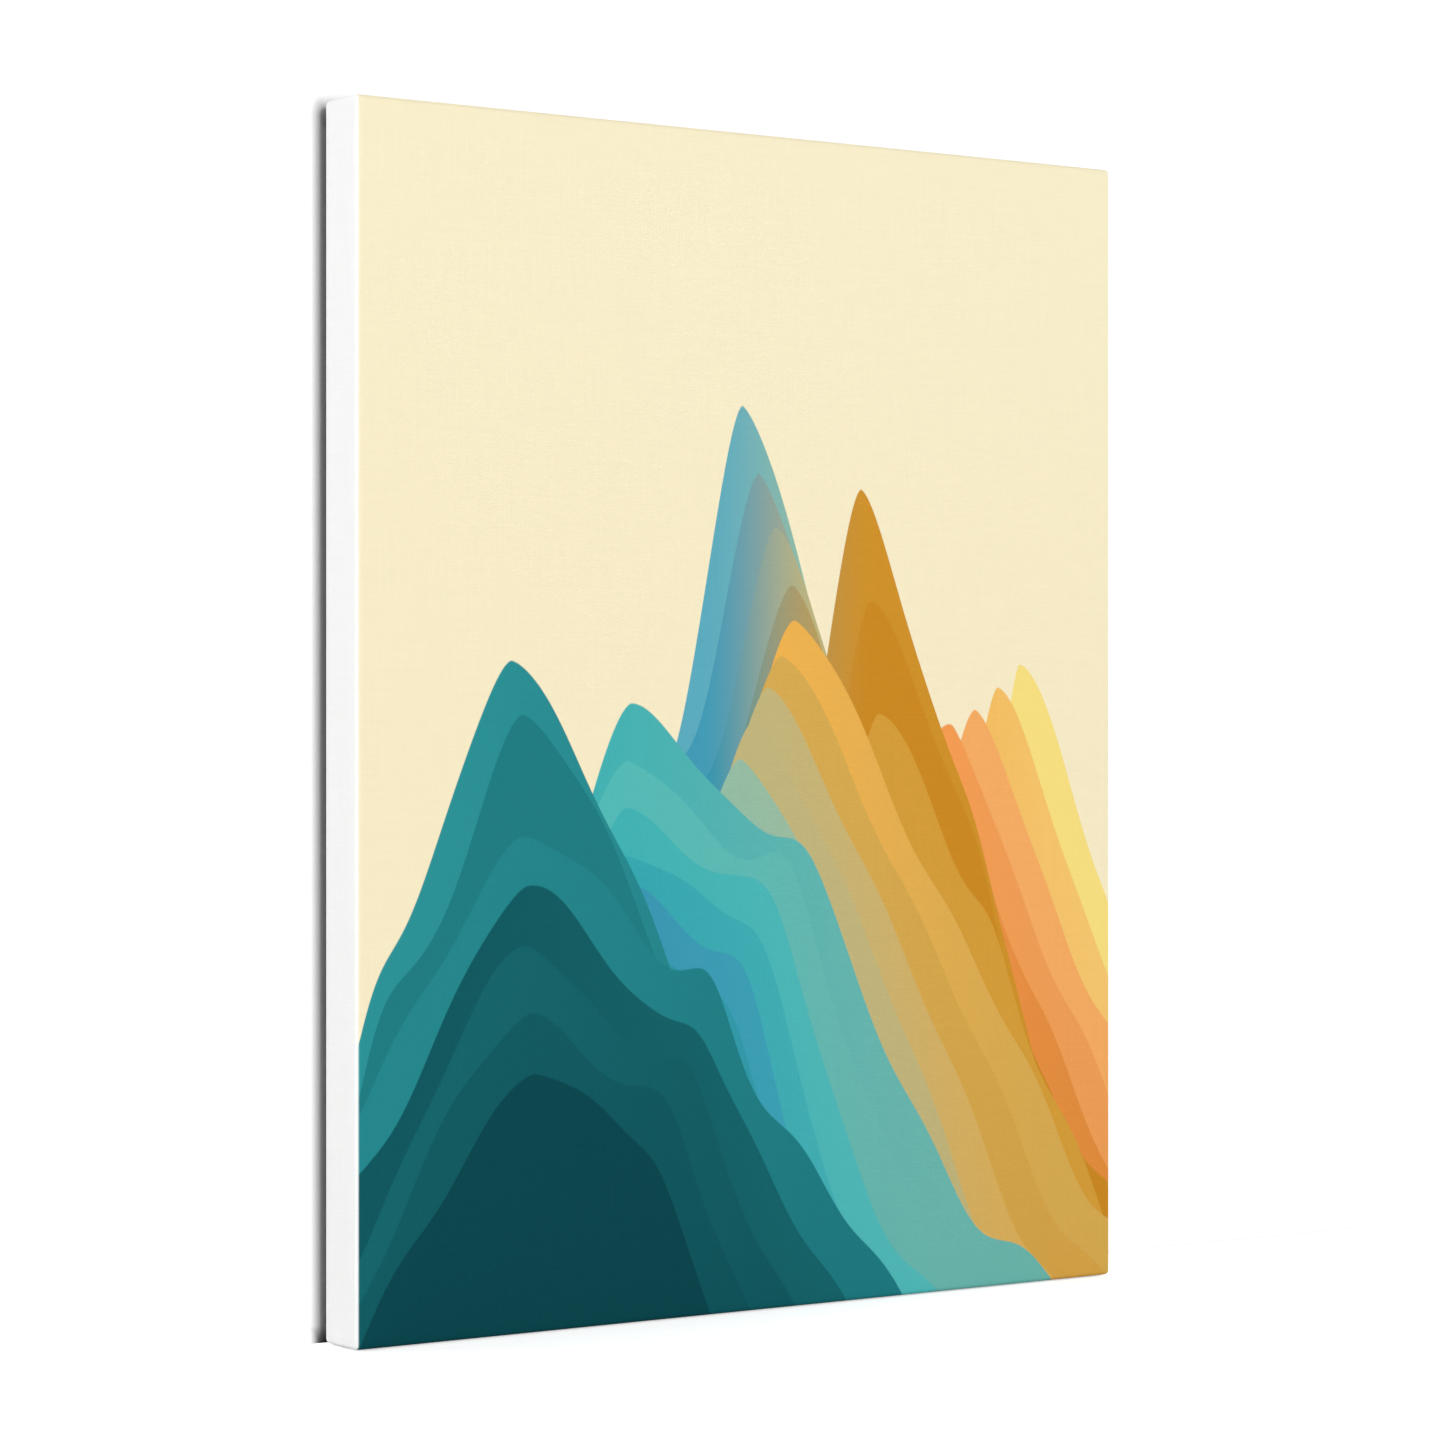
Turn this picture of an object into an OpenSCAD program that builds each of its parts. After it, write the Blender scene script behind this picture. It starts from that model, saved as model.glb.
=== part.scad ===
// Stretched canvas: primed cotton pulled over four keyed pine stretcher bars.
// X runs across the face, Z runs up and the face looks along -Y. The origin is the
// middle of the bottom edge, halfway through the depth of the wrapped bars. Left and
// right are as seen from the front.

/* [Canvas] */
// Width of the stretched canvas, over the cloth
canvas_w = 279.4; // [230:0.1:420]
// Height of the stretched canvas, over the cloth
canvas_h = 355.6; // [290:0.1:520]
// Thickness of the primed cloth
cloth_t = 0.45; // [0.3:0.05:0.8]
// Radius that the cloth makes round every edge and corner
edge_r = 1.5; // [1.2:0.1:3]
// Width of the cloth turned over onto the backs of the bars
flap_w = 24; // [18:1:26]
// Extra layers of cloth where each corner is folded under itself
fold_layers = 2; // [1:1:3]

/* [Stretcher bars] */
// Width of a bar, from its outer edge to its inner edge
bar_w = 38; // [36:0.5:48]
// Depth of a bar, from its back to the top of its lip
bar_depth = 17.5; // [14.5:0.5:26]
// Width of the raised lip that the cloth lies on
lip_w = 5; // [3:0.5:8]
// Drop from the lip to the face beside it
lip_drop = 1.4; // [0.8:0.1:1.8]
// Further drop of the face on its way to the inner edge
face_drop = 1.1; // [0.5:0.1:1.5]
// Chamfer along both inner edges of a bar
bar_ease = 0.8; // [0.3:0.1:1]

/* [Corner joints] */
// Thickness of the mitred cheek at the back of each corner
cheek_t = 4; // [3:0.1:4.8]
// Thickness of a tongue, and of the slot in the other bar that takes it
tongue_t = 3.6; // [3:0.1:4.2]
// Play between a tongue and its slot
tongue_play = 0.1; // [0.05:0.05:0.3]
// Gap along each mitre
mitre_gap = 0.1; // [0.05:0.05:0.3]
// Wood left between the end of a key slot and the outer edge of the bar
slot_wall = 7; // [5:0.5:9]

/* [Corner keys] */
// Length of a key
key_len = 36; // [28:1:44]
// Width of a key at its butt
key_butt = 13; // [10:0.5:16]
// Width of a key at its tip
key_tip = 3; // [2.5:0.1:5]
// Room ahead of the tip for driving the key further in
key_room = 5; // [3:0.5:6]
// Clearance all round a key in its slot
key_play = 0.25; // [0.1:0.05:0.4]
// Corner clipped off each side of the butt
key_clip = 1.2; // [0.5:0.1:2]

/* [Staples] */
// Width of a staple over its crown
staple_w = 10; // [8:0.5:12]
// Length of a staple's legs
staple_leg = 6; // [4:0.5:6.5]
// Width of the flat staple wire
wire_w = 1.2; // [0.8:0.1:1.6]
// Thickness of the flat staple wire
wire_t = 0.5; // [0.4:0.05:0.7]
// Depth that the crown bites into the cloth
staple_bite = 0.1; // [0.05:0.05:0.2]
// Greatest distance between staples along a bar
staple_pitch = 36; // [25:1:60]
// Most degrees that a staple is driven out of line
staple_skew = 4; // [0:0.5:8]
// Distance from the canvas's outer edge to the row of staples
staple_inset = 13; // [10:0.5:15]
// Distance from the corner to the nearest staple of the row
staple_start = 62; // [60:1:80]
// Distance of a corner staple from the nearer outer edge
fold_staple_up = 8.5; // [6:0.5:9]
// Distance of a corner staple from the canvas's side
fold_staple_in = 17; // [15:0.5:18]

/* [Hanger] */
// Length of the sawtooth hanger
hanger_len = 46; // [40:1:60]
// Height of the hanger strip
hanger_h = 9.5; // [8:0.5:11]
// Thickness of the hanger strip
hanger_t = 0.7; // [0.5:0.1:1]
// Height of the bowed middle over the wood
hanger_rise = 1.9; // [1.4:0.1:2.2]
// Length of the flat tab at each end
hanger_tab = 8; // [7:0.5:10]
// Distance between teeth
tooth_pitch = 2.8; // [2:0.1:4]
// Depth of a tooth
tooth_h = 1.6; // [1:0.1:2]
// Distance from the bar's inner edge to the hanger
hanger_gap = 2; // [1:0.5:3]
// Diameter of a hanger nail
nail_d = 1.4; // [1.2:0.1:1.8]
// Diameter of a nail's head
nail_head = 3.6; // [3:0.1:4.5]
// Length of a nail
nail_len = 10; // [8:0.5:12]
// Clearance between a nail and its hole in the hanger
nail_play = 0.1; // [0.05:0.05:0.2]

/* [Bumpers] */
// Diameter of a wall bumper
bumper_d = 11; // [8:0.5:14]
// Height of a wall bumper
bumper_h = 3.2; // [2.6:0.1:5]
// Distance from the side of the canvas to a bumper's centre
bumper_in = 43; // [36:1:60]
// Distance from the bottom of the canvas to a bumper's centre
bumper_up = 13; // [10:0.5:16]

/* [Hidden] */
$fn = 48;
// The frame that the bars make, inside the cloth
frame_w = canvas_w - 2 * cloth_t;
frame_h = canvas_h - 2 * cloth_t;
frame_r = edge_r - cloth_t;
// Depth of the canvas over the cloth, and the extra thickness of a folded corner
depth = bar_depth + 2 * cloth_t;
fold_t = fold_layers * cloth_t;
// Layers of a corner, forward from the backs of the bars: the back cheek, the tongue
// of the upright bar, the tongue of the bar across, then the front cheek
layer_a = cheek_t;
layer_b = cheek_t + tongue_t;
layer_c = cheek_t + 2 * tongue_t;
// Long enough to pass right through what it cuts
past = 1;
// A turn from one staple to the next that never repeats along a bar
uneven_step = 137;
// How fast a key widens, and where its tip and its slot's end lie from the outer edge
key_slope = (key_butt - key_tip) / key_len;
tip_at = slot_wall + key_room;
// The four sides, and the two ends of each side's bar
BOTTOM = 0;
RIGHT = 1;
TOP = 2;
LEFT = 3;
NEAR = -1;
FAR = 1;

// Stands the part up: what is built lying on its back, with its face up, becomes upright
module upright()
    translate([0, bar_depth / 2, canvas_h / 2]) rotate([90, 0, 0]) children();

// Length of the bar on a side, and half the distance across the frame to that side
function side_len(side) = side % 2 == 0 ? frame_w : frame_h;
function side_reach(side) = side % 2 == 0 ? frame_h / 2 : frame_w / 2;

// Puts a side's pieces in place: X along the bar, Y inward from its outer edge, Z forward
module on_side(side)
    rotate([0, 0, 90 * side]) translate([0, -side_reach(side), 0]) children();

// Puts a piece at one end of a bar: X then runs from that end towards the middle
module at_end(length, end)
    mirror([end == FAR ? 1 : 0, 0, 0]) translate([-length / 2, 0, 0]) children();

// Rectangle with round corners
module rounded_plan(w, h, r) {
    square([w - 2 * r, h], center = true);
    square([w, h - 2 * r], center = true);
    for (x = [-1, 1], y = [-1, 1]) translate([x * (w / 2 - r), y * (h / 2 - r)]) circle(r = r);
}

// A block with every edge rounded, standing on its back
module rounded_block(w, h, d, r)
    translate([0, 0, d / 2]) intersection() {
        linear_extrude(d, center = true) rounded_plan(w, h, r);
        rotate([90, 0, 0]) linear_extrude(h, center = true) rounded_plan(w, d, r);
        rotate([90, 0, 90]) linear_extrude(w, center = true) rounded_plan(h, d, r);
    }

// The folded cloth that thickens one end of the top or bottom flap, up to the mitre
module corner_fold()
    translate([-cloth_t, -cloth_t, -cloth_t - fold_t]) linear_extrude(fold_t)
        polygon([[2 * edge_r, edge_r], [flap_w, edge_r], [flap_w, flap_w - edge_r]]);

// One piece of cloth: the face, four sides and the flaps turned over onto the back
module cloth() {
    color([0.95, 0.93, 0.88]) upright() {
        difference() {
            translate([0, 0, -cloth_t]) rounded_block(canvas_w, canvas_h, depth, edge_r);
            rounded_block(frame_w, frame_h, bar_depth, frame_r);
            translate([0, 0, -cloth_t])
                cube([canvas_w - 2 * flap_w, canvas_h - 2 * flap_w, 2 * (cloth_t + past)], center = true);
        }
        for (side = [BOTTOM, TOP], end = [NEAR, FAR])
            on_side(side) at_end(side_len(side), end) corner_fold();
    }
}

// Cross-section of a bar: inward from its outer edge, and forward from its back
module bar_outline()
    polygon([
        [0, 0], [bar_w - bar_ease, 0], [bar_w, bar_ease],
        [bar_w, bar_depth - lip_drop - face_drop - bar_ease],
        [bar_w - bar_ease, bar_depth - lip_drop - face_drop],
        [lip_w + lip_drop, bar_depth - lip_drop], [lip_w, bar_depth], [0, bar_depth]
    ]);

// Cuts a cheek at 45 degrees, between two heights
module mitre_cut(low, high) {
    shift = mitre_gap / 2 * sqrt(2);
    translate([0, 0, low]) linear_extrude(high - low)
        polygon([[-past, -past - shift], [bar_w + past + shift, bar_w + past], [-past, bar_w + past]]);
}

// The slot for the other bar's tongue, with the tapered part that a key is driven into
module slot_cut(low, high) {
    tip_w = key_tip - key_slope * key_room + 2 * key_play;
    mouth_w = key_tip + key_slope * (bar_w + past - tip_at) + 2 * key_play;
    translate([0, 0, low]) linear_extrude(high - low) {
        translate([-past, -past]) square([bar_w + past + tongue_play, bar_w + 2 * past]);
        polygon([[bar_w, slot_wall], [bar_w + tip_w, slot_wall], [bar_w + mouth_w, bar_w + past], [bar_w, bar_w + past]]);
    }
}

// The end of a bar that runs across: its tongue lies in front of its slot
module across_end_cuts() {
    mitre_cut(-past, layer_a);
    slot_cut(layer_a, layer_b + tongue_play / 2);
    mitre_cut(layer_c - tongue_play, bar_depth + past);
}

// The end of an upright bar: its tongue lies behind its slot
module upright_end_cuts() {
    mitre_cut(-past, layer_a + tongue_play);
    slot_cut(layer_b - tongue_play / 2, layer_c);
    mitre_cut(layer_c, bar_depth + past);
}

// A stretcher bar with its two jointed ends
module bar(side) {
    length = side_len(side);
    color([0.86, 0.72, 0.51]) upright() intersection() {
        rounded_block(frame_w, frame_h, bar_depth, frame_r);
        on_side(side) difference() {
            rotate([90, 0, 90]) linear_extrude(length, center = true) bar_outline();
            for (end = [NEAR, FAR])
                at_end(length, end)
                    if (side % 2 == 0) across_end_cuts(); else upright_end_cuts();
        }
    }
}

// Plan of a key: its straight edge lies along the other bar, and its butt sticks out inward
module key_outline()
    polygon([
        [0, 0], [key_tip, 0], [key_butt - key_clip * key_slope, key_len - key_clip],
        [key_butt - key_clip, key_len], [key_clip, key_len], [0, key_len - key_clip]
    ]);

// A key in the slot at one end of a bar
module key(side, end) {
    slot_low = side % 2 == 0 ? layer_a : layer_b;
    color([0.9, 0.8, 0.62]) upright() on_side(side) at_end(side_len(side), end)
        translate([bar_w + key_play, tip_at, slot_low + key_play])
            linear_extrude(tongue_t - 2 * key_play) key_outline();
}

// A staple driven from the back, with its crown along X and its legs pointing forward
module staple() {
    bend_r = 2 * wire_t;
    rotate([90, 0, 0]) linear_extrude(wire_w, center = true) {
        translate([bend_r - staple_w / 2, 0]) square([staple_w - 2 * bend_r, wire_t]);
        for (side = [-1, 1]) mirror([side < 0 ? 1 : 0, 0]) translate([staple_w / 2, 0]) {
            translate([-bend_r, bend_r]) intersection() {
                difference() {
                    circle(r = bend_r);
                    circle(r = bend_r - wire_t);
                }
                translate([0, -bend_r]) square(bend_r);
            }
            polygon([[-wire_t, bend_r], [0, bend_r], [0, staple_leg - wire_t], [-wire_t, staple_leg]]);
        }
    }
}

// The staples through one side's flap, and through the corner folds above and below
module staples(side) {
    run = side_len(side) / 2 - staple_start;
    gaps = ceil(2 * run / staple_pitch);
    color([0.74, 0.75, 0.77]) upright() on_side(side)
        translate([0, 0, staple_bite - cloth_t - wire_t]) {
            for (i = [0:gaps])
                translate([-run + 2 * run * i / gaps, staple_inset - cloth_t, 0])
                    rotate([0, 0, staple_skew * sin(uneven_step * (i + gaps * side))]) staple();
            if (side % 2 == 0) for (end = [NEAR, FAR])
                at_end(side_len(side), end)
                    translate([fold_staple_in - cloth_t, fold_staple_up - cloth_t, -fold_t])
                        rotate([0, 0, 45]) staple();
        }
}

// Front view of the hanger: a strip with round ends and a row of teeth below its middle
module hanger_outline() {
    half_run = hanger_len / 2 - hanger_tab - 2 * hanger_rise;
    teeth = 2 * floor(half_run / tooth_pitch - 0.5) + 1;
    difference() {
        union() {
            square([hanger_len - hanger_h, hanger_h], center = true);
            for (x = [-1, 1]) translate([x * (hanger_len - hanger_h) / 2, 0]) circle(d = hanger_h);
        }
        for (i = [0:teeth - 1]) translate([(i - teeth / 2) * tooth_pitch, hanger_h / 2])
            polygon([[0, past], [0, 0], [tooth_pitch / 2, -tooth_h], [tooth_pitch, 0], [tooth_pitch, past]]);
        for (x = [-1, 1]) translate([x * (hanger_len - hanger_tab) / 2, 0]) circle(r = nail_d / 2 + nail_play);
    }
}

// Top view of the hanger strip: flat tabs, and a middle bowed off the wood
module hanger_bend() {
    tab = hanger_len / 2 - hanger_tab;
    flat = tab - 2 * hanger_rise;
    polygon([
        [-hanger_len / 2, 0], [-tab, 0], [-flat, hanger_rise], [flat, hanger_rise], [tab, 0], [hanger_len / 2, 0],
        [hanger_len / 2, hanger_t], [tab + hanger_t / 2, hanger_t], [flat + hanger_t / 2, hanger_rise + hanger_t],
        [-flat - hanger_t / 2, hanger_rise + hanger_t], [-tab - hanger_t / 2, hanger_t], [-hanger_len / 2, hanger_t]
    ]);
}

// Puts a piece on the bare wood at the middle of the top bar's back, with Z out of the wood
module on_hanger_seat()
    upright() on_side(TOP) translate([0, bar_w - hanger_gap - hanger_h / 2, 0]) mirror([0, 0, 1]) children();

module hanger() {
    color([0.78, 0.74, 0.62]) on_hanger_seat() intersection() {
        linear_extrude(hanger_rise + hanger_t + past) hanger_outline();
        rotate([90, 0, 0]) linear_extrude(hanger_h + past, center = true) hanger_bend();
    }
}

// Two nails through the hanger's tabs into the top bar
module nails() {
    head_t = hanger_t;
    color([0.7, 0.68, 0.62]) on_hanger_seat() for (x = [-1, 1])
        translate([x * (hanger_len - hanger_tab) / 2, 0, 0]) {
            translate([0, 0, hanger_t]) cylinder(h = head_t / 2, d = nail_head);
            translate([0, 0, hanger_t + head_t / 2]) cylinder(h = head_t / 2, d1 = nail_head, d2 = nail_head - head_t);
            translate([0, 0, hanger_t - nail_len + nail_d]) cylinder(h = nail_len - nail_d, d = nail_d);
            translate([0, 0, hanger_t - nail_len]) cylinder(h = nail_d, d1 = nail_d / 4, d2 = nail_d);
        }
}

// A soft round bumper stuck on the back of the cloth, with a domed end
module bumper(end) {
    dome_r = (bumper_d * bumper_d / 4 + bumper_h * bumper_h / 4) / bumper_h;
    color([0.16, 0.16, 0.17]) upright() on_side(BOTTOM) at_end(frame_w, end)
        translate([bumper_in - cloth_t, bumper_up - cloth_t, -cloth_t]) mirror([0, 0, 1]) intersection() {
            cylinder(h = bumper_h, d = bumper_d);
            translate([0, 0, bumper_h - dome_r]) sphere(r = dome_r);
        }
}

cloth();  // canvas
bar(TOP);  // bar_top
bar(BOTTOM);  // bar_bottom
bar(LEFT);  // bar_left
bar(RIGHT);  // bar_right
key(TOP, FAR);  // key_top_left_upright
key(TOP, NEAR);  // key_top_right_upright
key(BOTTOM, NEAR);  // key_bottom_left_upright
key(BOTTOM, FAR);  // key_bottom_right_upright
key(LEFT, NEAR);  // key_top_left_across
key(RIGHT, FAR);  // key_top_right_across
key(LEFT, FAR);  // key_bottom_left_across
key(RIGHT, NEAR);  // key_bottom_right_across
staples(TOP);  // staples_top
staples(BOTTOM);  // staples_bottom
staples(LEFT);  // staples_left
staples(RIGHT);  // staples_right
hanger();  // sawtooth_hanger
nails();  // hanger_nails
bumper(NEAR);  // bumper_left
bumper(FAR);  // bumper_right
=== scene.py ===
import logging
import math
import random
from dataclasses import dataclass, field
from enum import Enum
from typing import ClassVar, Union

import bmesh
import bpy
from mathutils import Matrix, Vector, noise


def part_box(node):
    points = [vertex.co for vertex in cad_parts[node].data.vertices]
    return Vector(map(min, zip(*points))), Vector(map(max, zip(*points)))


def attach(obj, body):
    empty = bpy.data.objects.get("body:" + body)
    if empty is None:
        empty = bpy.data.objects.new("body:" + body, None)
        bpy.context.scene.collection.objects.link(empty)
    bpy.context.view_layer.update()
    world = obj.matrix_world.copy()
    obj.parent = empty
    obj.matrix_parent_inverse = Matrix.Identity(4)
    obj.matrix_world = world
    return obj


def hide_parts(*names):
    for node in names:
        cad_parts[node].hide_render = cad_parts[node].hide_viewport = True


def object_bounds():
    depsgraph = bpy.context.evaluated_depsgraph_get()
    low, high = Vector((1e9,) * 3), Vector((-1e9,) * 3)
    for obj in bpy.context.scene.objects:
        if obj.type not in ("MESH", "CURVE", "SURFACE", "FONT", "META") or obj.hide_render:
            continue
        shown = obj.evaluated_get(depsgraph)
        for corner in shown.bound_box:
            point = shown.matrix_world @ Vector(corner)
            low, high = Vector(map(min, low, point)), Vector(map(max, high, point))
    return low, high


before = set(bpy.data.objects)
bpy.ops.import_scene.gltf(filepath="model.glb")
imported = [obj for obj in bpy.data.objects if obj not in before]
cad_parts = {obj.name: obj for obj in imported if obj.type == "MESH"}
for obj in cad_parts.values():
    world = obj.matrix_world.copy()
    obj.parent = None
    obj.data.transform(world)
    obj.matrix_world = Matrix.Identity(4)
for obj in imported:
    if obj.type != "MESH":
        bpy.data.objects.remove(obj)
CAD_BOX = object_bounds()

log = logging.getLogger("stretched_canvas")

MM = 0.001
ROOT_BODY = "stretched_frame"

Colour = tuple[float, float, float]
Feed = Union["Wire", float, tuple, None]


def ink(red: int, green: int, blue: int) -> Colour:
    """Turns a printed colour, 0 to 255 a channel, into linear light."""
    def straight(share: float) -> float:
        """Undoes the display curve of one channel."""
        share /= 255
        return share / 12.92 if share <= 0.04045 else ((share + 0.055) / 1.055) ** 2.4

    return straight(red), straight(green), straight(blue)


def smooth(low: float, high: float, value: float) -> float:
    """Rises smoothly from 0 where value is low to 1 where it is high."""
    share = min(1.0, max(0.0, (value - low) / (high - low)))
    return share * share * (3 - 2 * share)


def hump(distance: float, reach: float) -> float:
    """A round bump of height 1 at no distance, gone past a few reaches."""
    return math.exp(-((distance / reach) ** 2))


# ---------------------------------------------------------------- shader bench


class Wire:
    """An output in a shader tree. Arithmetic with it adds Math nodes to the tree."""

    def __init__(self, bench: "Bench", socket: bpy.types.NodeSocket) -> None:
        """Takes an output of one of bench's nodes."""
        self.bench, self.socket = bench, socket

    def __add__(self, other: Feed) -> "Wire":
        """Adds."""
        return self.bench.sum("ADD", self, other)

    def __sub__(self, other: Feed) -> "Wire":
        """Subtracts."""
        return self.bench.sum("SUBTRACT", self, other)

    def __rsub__(self, other: Feed) -> "Wire":
        """Subtracts from a number."""
        return self.bench.sum("SUBTRACT", other, self)

    def __mul__(self, other: Feed) -> "Wire":
        """Multiplies."""
        return self.bench.sum("MULTIPLY", self, other)

    def __truediv__(self, other: Feed) -> "Wire":
        """Divides."""
        return self.bench.sum("DIVIDE", self, other)

    def __rtruediv__(self, other: Feed) -> "Wire":
        """Divides a number."""
        return self.bench.sum("DIVIDE", other, self)

    def __pow__(self, power: float) -> "Wire":
        """Raises to a power."""
        return self.bench.sum("POWER", self, power)

    def __abs__(self) -> "Wire":
        """Drops the sign."""
        return self.bench.sum("ABSOLUTE", self)


class Bench:
    """Adds and wires the nodes of one shader tree."""

    def __init__(self, tree: bpy.types.NodeTree) -> None:
        """Works on tree."""
        self.tree = tree

    def add(self, kind: str, **settings: object) -> bpy.types.Node:
        """Adds a node.

        Args:
            kind: Its type name.
            settings: Its properties.

        Returns:
            The node.
        """
        node = self.tree.nodes.new(kind)
        for name, value in settings.items():
            setattr(node, name, value)
        return node

    def out(self, kind: str, output: Union[str, int] = 0, **settings: object) -> Wire:
        """Adds a node and takes one of its outputs.

        Args:
            kind: Its type name.
            output: The output's name or number.
            settings: Its properties.

        Returns:
            The output.
        """
        return Wire(self, self.add(kind, **settings).outputs[output])

    def feed(self, socket: bpy.types.NodeSocket, value: Feed) -> None:
        """Links value to socket, or sets it there.

        Args:
            socket: An input.
            value: A wire, a number or a colour; None leaves the input as it is.
        """
        if isinstance(value, Wire):
            self.tree.links.new(value.socket, socket)
        elif isinstance(value, tuple) and socket.type == "RGBA":
            socket.default_value = (*value[:3], 1.0)
        elif value is not None:
            socket.default_value = value

    def fill(self, node: bpy.types.Node, *values: Feed) -> bpy.types.Node:
        """Feeds a node's inputs in order."""
        for socket, value in zip(node.inputs, values):
            self.feed(socket, value)
        return node

    def sum(self, work: str, a: Feed, b: Feed = None, c: Feed = None, clamp: bool = False) -> Wire:
        """Adds a Math node.

        Args:
            work: Its operation.
            a: The first value.
            b: The second value.
            c: The third value.
            clamp: Whether the result stays within 0 and 1.

        Returns:
            The result.
        """
        node = self.add("ShaderNodeMath", operation=work, use_clamp=clamp)
        return Wire(self, self.fill(node, a, b, c).outputs[0])

    def wave(self, turns: Wire) -> Wire:
        """A sine wave, -1 to 1, of so many full turns."""
        return self.sum("SINE", turns * (2 * math.pi))

    def move(self, work: str, a: Feed, b: Feed = None, scale: Feed = None) -> Wire:
        """Adds a Vector Math node.

        Args:
            work: Its operation.
            a: The first vector.
            b: The second vector.
            scale: The number that SCALE multiplies by.

        Returns:
            The new vector, or its length.
        """
        node = self.fill(self.add("ShaderNodeVectorMath", operation=work), a, b)
        self.feed(node.inputs[3], scale)
        return Wire(self, node.outputs[1 if work == "LENGTH" else 0])

    def lay(self, vector: Feed, scale: Feed = None, shift: Feed = None, turn: Feed = None) -> Wire:
        """Centres, turns or stretches a pattern.

        Args:
            vector: The coordinates.
            scale: The stretch along each axis.
            shift: The shift along each axis.
            turn: The turn about each axis, in radians.

        Returns:
            The new coordinates.
        """
        return Wire(self, self.fill(self.add("ShaderNodeMapping"), vector, shift, turn, scale).outputs[0])

    def speckle(self, vector: Feed, scale: float, detail: float = 2.0, rough: float = 0.5) -> Wire:
        """Adds a noise.

        Args:
            vector: The coordinates.
            scale: Its fineness.
            detail: Its octaves.
            rough: How strong the fine ones are.

        Returns:
            Its value, round 0.5.
        """
        node = self.add("ShaderNodeTexNoise")
        for name, value in (("Vector", vector), ("Scale", scale), ("Detail", detail), ("Roughness", rough)):
            self.feed(node.inputs[name], value)
        return Wire(self, node.outputs["Fac"])

    def range(self, value: Feed, low: Feed, high: Feed, start: float = 0.0, end: float = 1.0,
              soft: bool = True) -> Wire:
        """Fits a value from one range to another.

        Args:
            value: The value.
            low: The old range's start.
            high: The old range's end.
            start: The new range's start.
            end: The new range's end.
            soft: Whether it eases in and out.

        Returns:
            The fitted value.
        """
        node = self.add("ShaderNodeMapRange", interpolation_type="SMOOTHSTEP" if soft else "LINEAR")
        return Wire(self, self.fill(node, value, low, high, start, end).outputs[0])

    def mix(self, share: Feed, a: Feed, b: Feed, way: str = "MIX") -> Wire:
        """Mixes two colours.

        Args:
            share: How much of b shows.
            a: The colour below.
            b: The colour above.
            way: The blend mode.

        Returns:
            The mixed colour.
        """
        node = self.add("ShaderNodeMix", data_type="RGBA", blend_type=way)
        for place, value in ((0, share), (6, a), (7, b)):
            self.feed(node.inputs[place], value)
        return Wire(self, node.outputs[2])

    def parts(self, vector: Feed) -> tuple[Wire, ...]:
        """Splits a vector into its X, Y and Z."""
        node = self.fill(self.add("ShaderNodeSeparateXYZ"), vector)
        return tuple(Wire(self, output) for output in node.outputs)

    def vector(self, x: Feed, y: Feed, z: Feed = 0.0) -> Wire:
        """Joins X, Y and Z into a vector."""
        return Wire(self, self.fill(self.add("ShaderNodeCombineXYZ"), x, y, z).outputs[0])


# ---------------------------------------------------------------- shared effects


class Kind(Enum):
    """What a group's socket carries."""

    NUMBER = "NodeSocketFloat"
    COLOUR = "NodeSocketColor"
    VECTOR = "NodeSocketVector"


class Effect:
    """A shader effect that several finishes use, as one node group."""

    name: str = ""
    takes: dict[Kind, tuple[str, ...]] = {}
    gives: dict[Kind, tuple[str, ...]] = {}

    def __init__(self) -> None:
        """Makes the group's sockets and lets draw() fill it."""
        self.tree = bpy.data.node_groups.new(self.name, "ShaderNodeTree")
        for in_out, sockets in (("INPUT", self.takes), ("OUTPUT", self.gives)):
            for kind, names in sockets.items():
                for name in names:
                    self.tree.interface.new_socket(name=name, in_out=in_out, socket_type=kind.value)
        bench = Bench(self.tree)
        inputs = bench.add("NodeGroupInput").outputs
        given = {name: Wire(bench, inputs[name]) for names in self.takes.values() for name in names}
        made = bench.add("NodeGroupOutput").inputs
        for name, value in self.draw(bench, given).items():
            bench.feed(made[name], value)

    def draw(self, bench: Bench, given: dict[str, Wire]) -> dict[str, Wire]:
        """Draws the effect.

        Args:
            bench: The group's bench.
            given: The group's inputs.

        Returns:
            What each output gets.
        """
        raise NotImplementedError

    def place(self, bench: Bench, **values: Feed) -> dict[str, Wire]:
        """Puts the effect in a tree.

        Args:
            bench: The tree's bench.
            values: The inputs, with _ for a space in their names.

        Returns:
            The group's outputs.
        """
        node = bench.add("ShaderNodeGroup", node_tree=self.tree)
        for name, value in values.items():
            bench.feed(node.inputs[name.replace("_", " ")], value)
        return {output.name: Wire(bench, output) for output in node.outputs}


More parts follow.
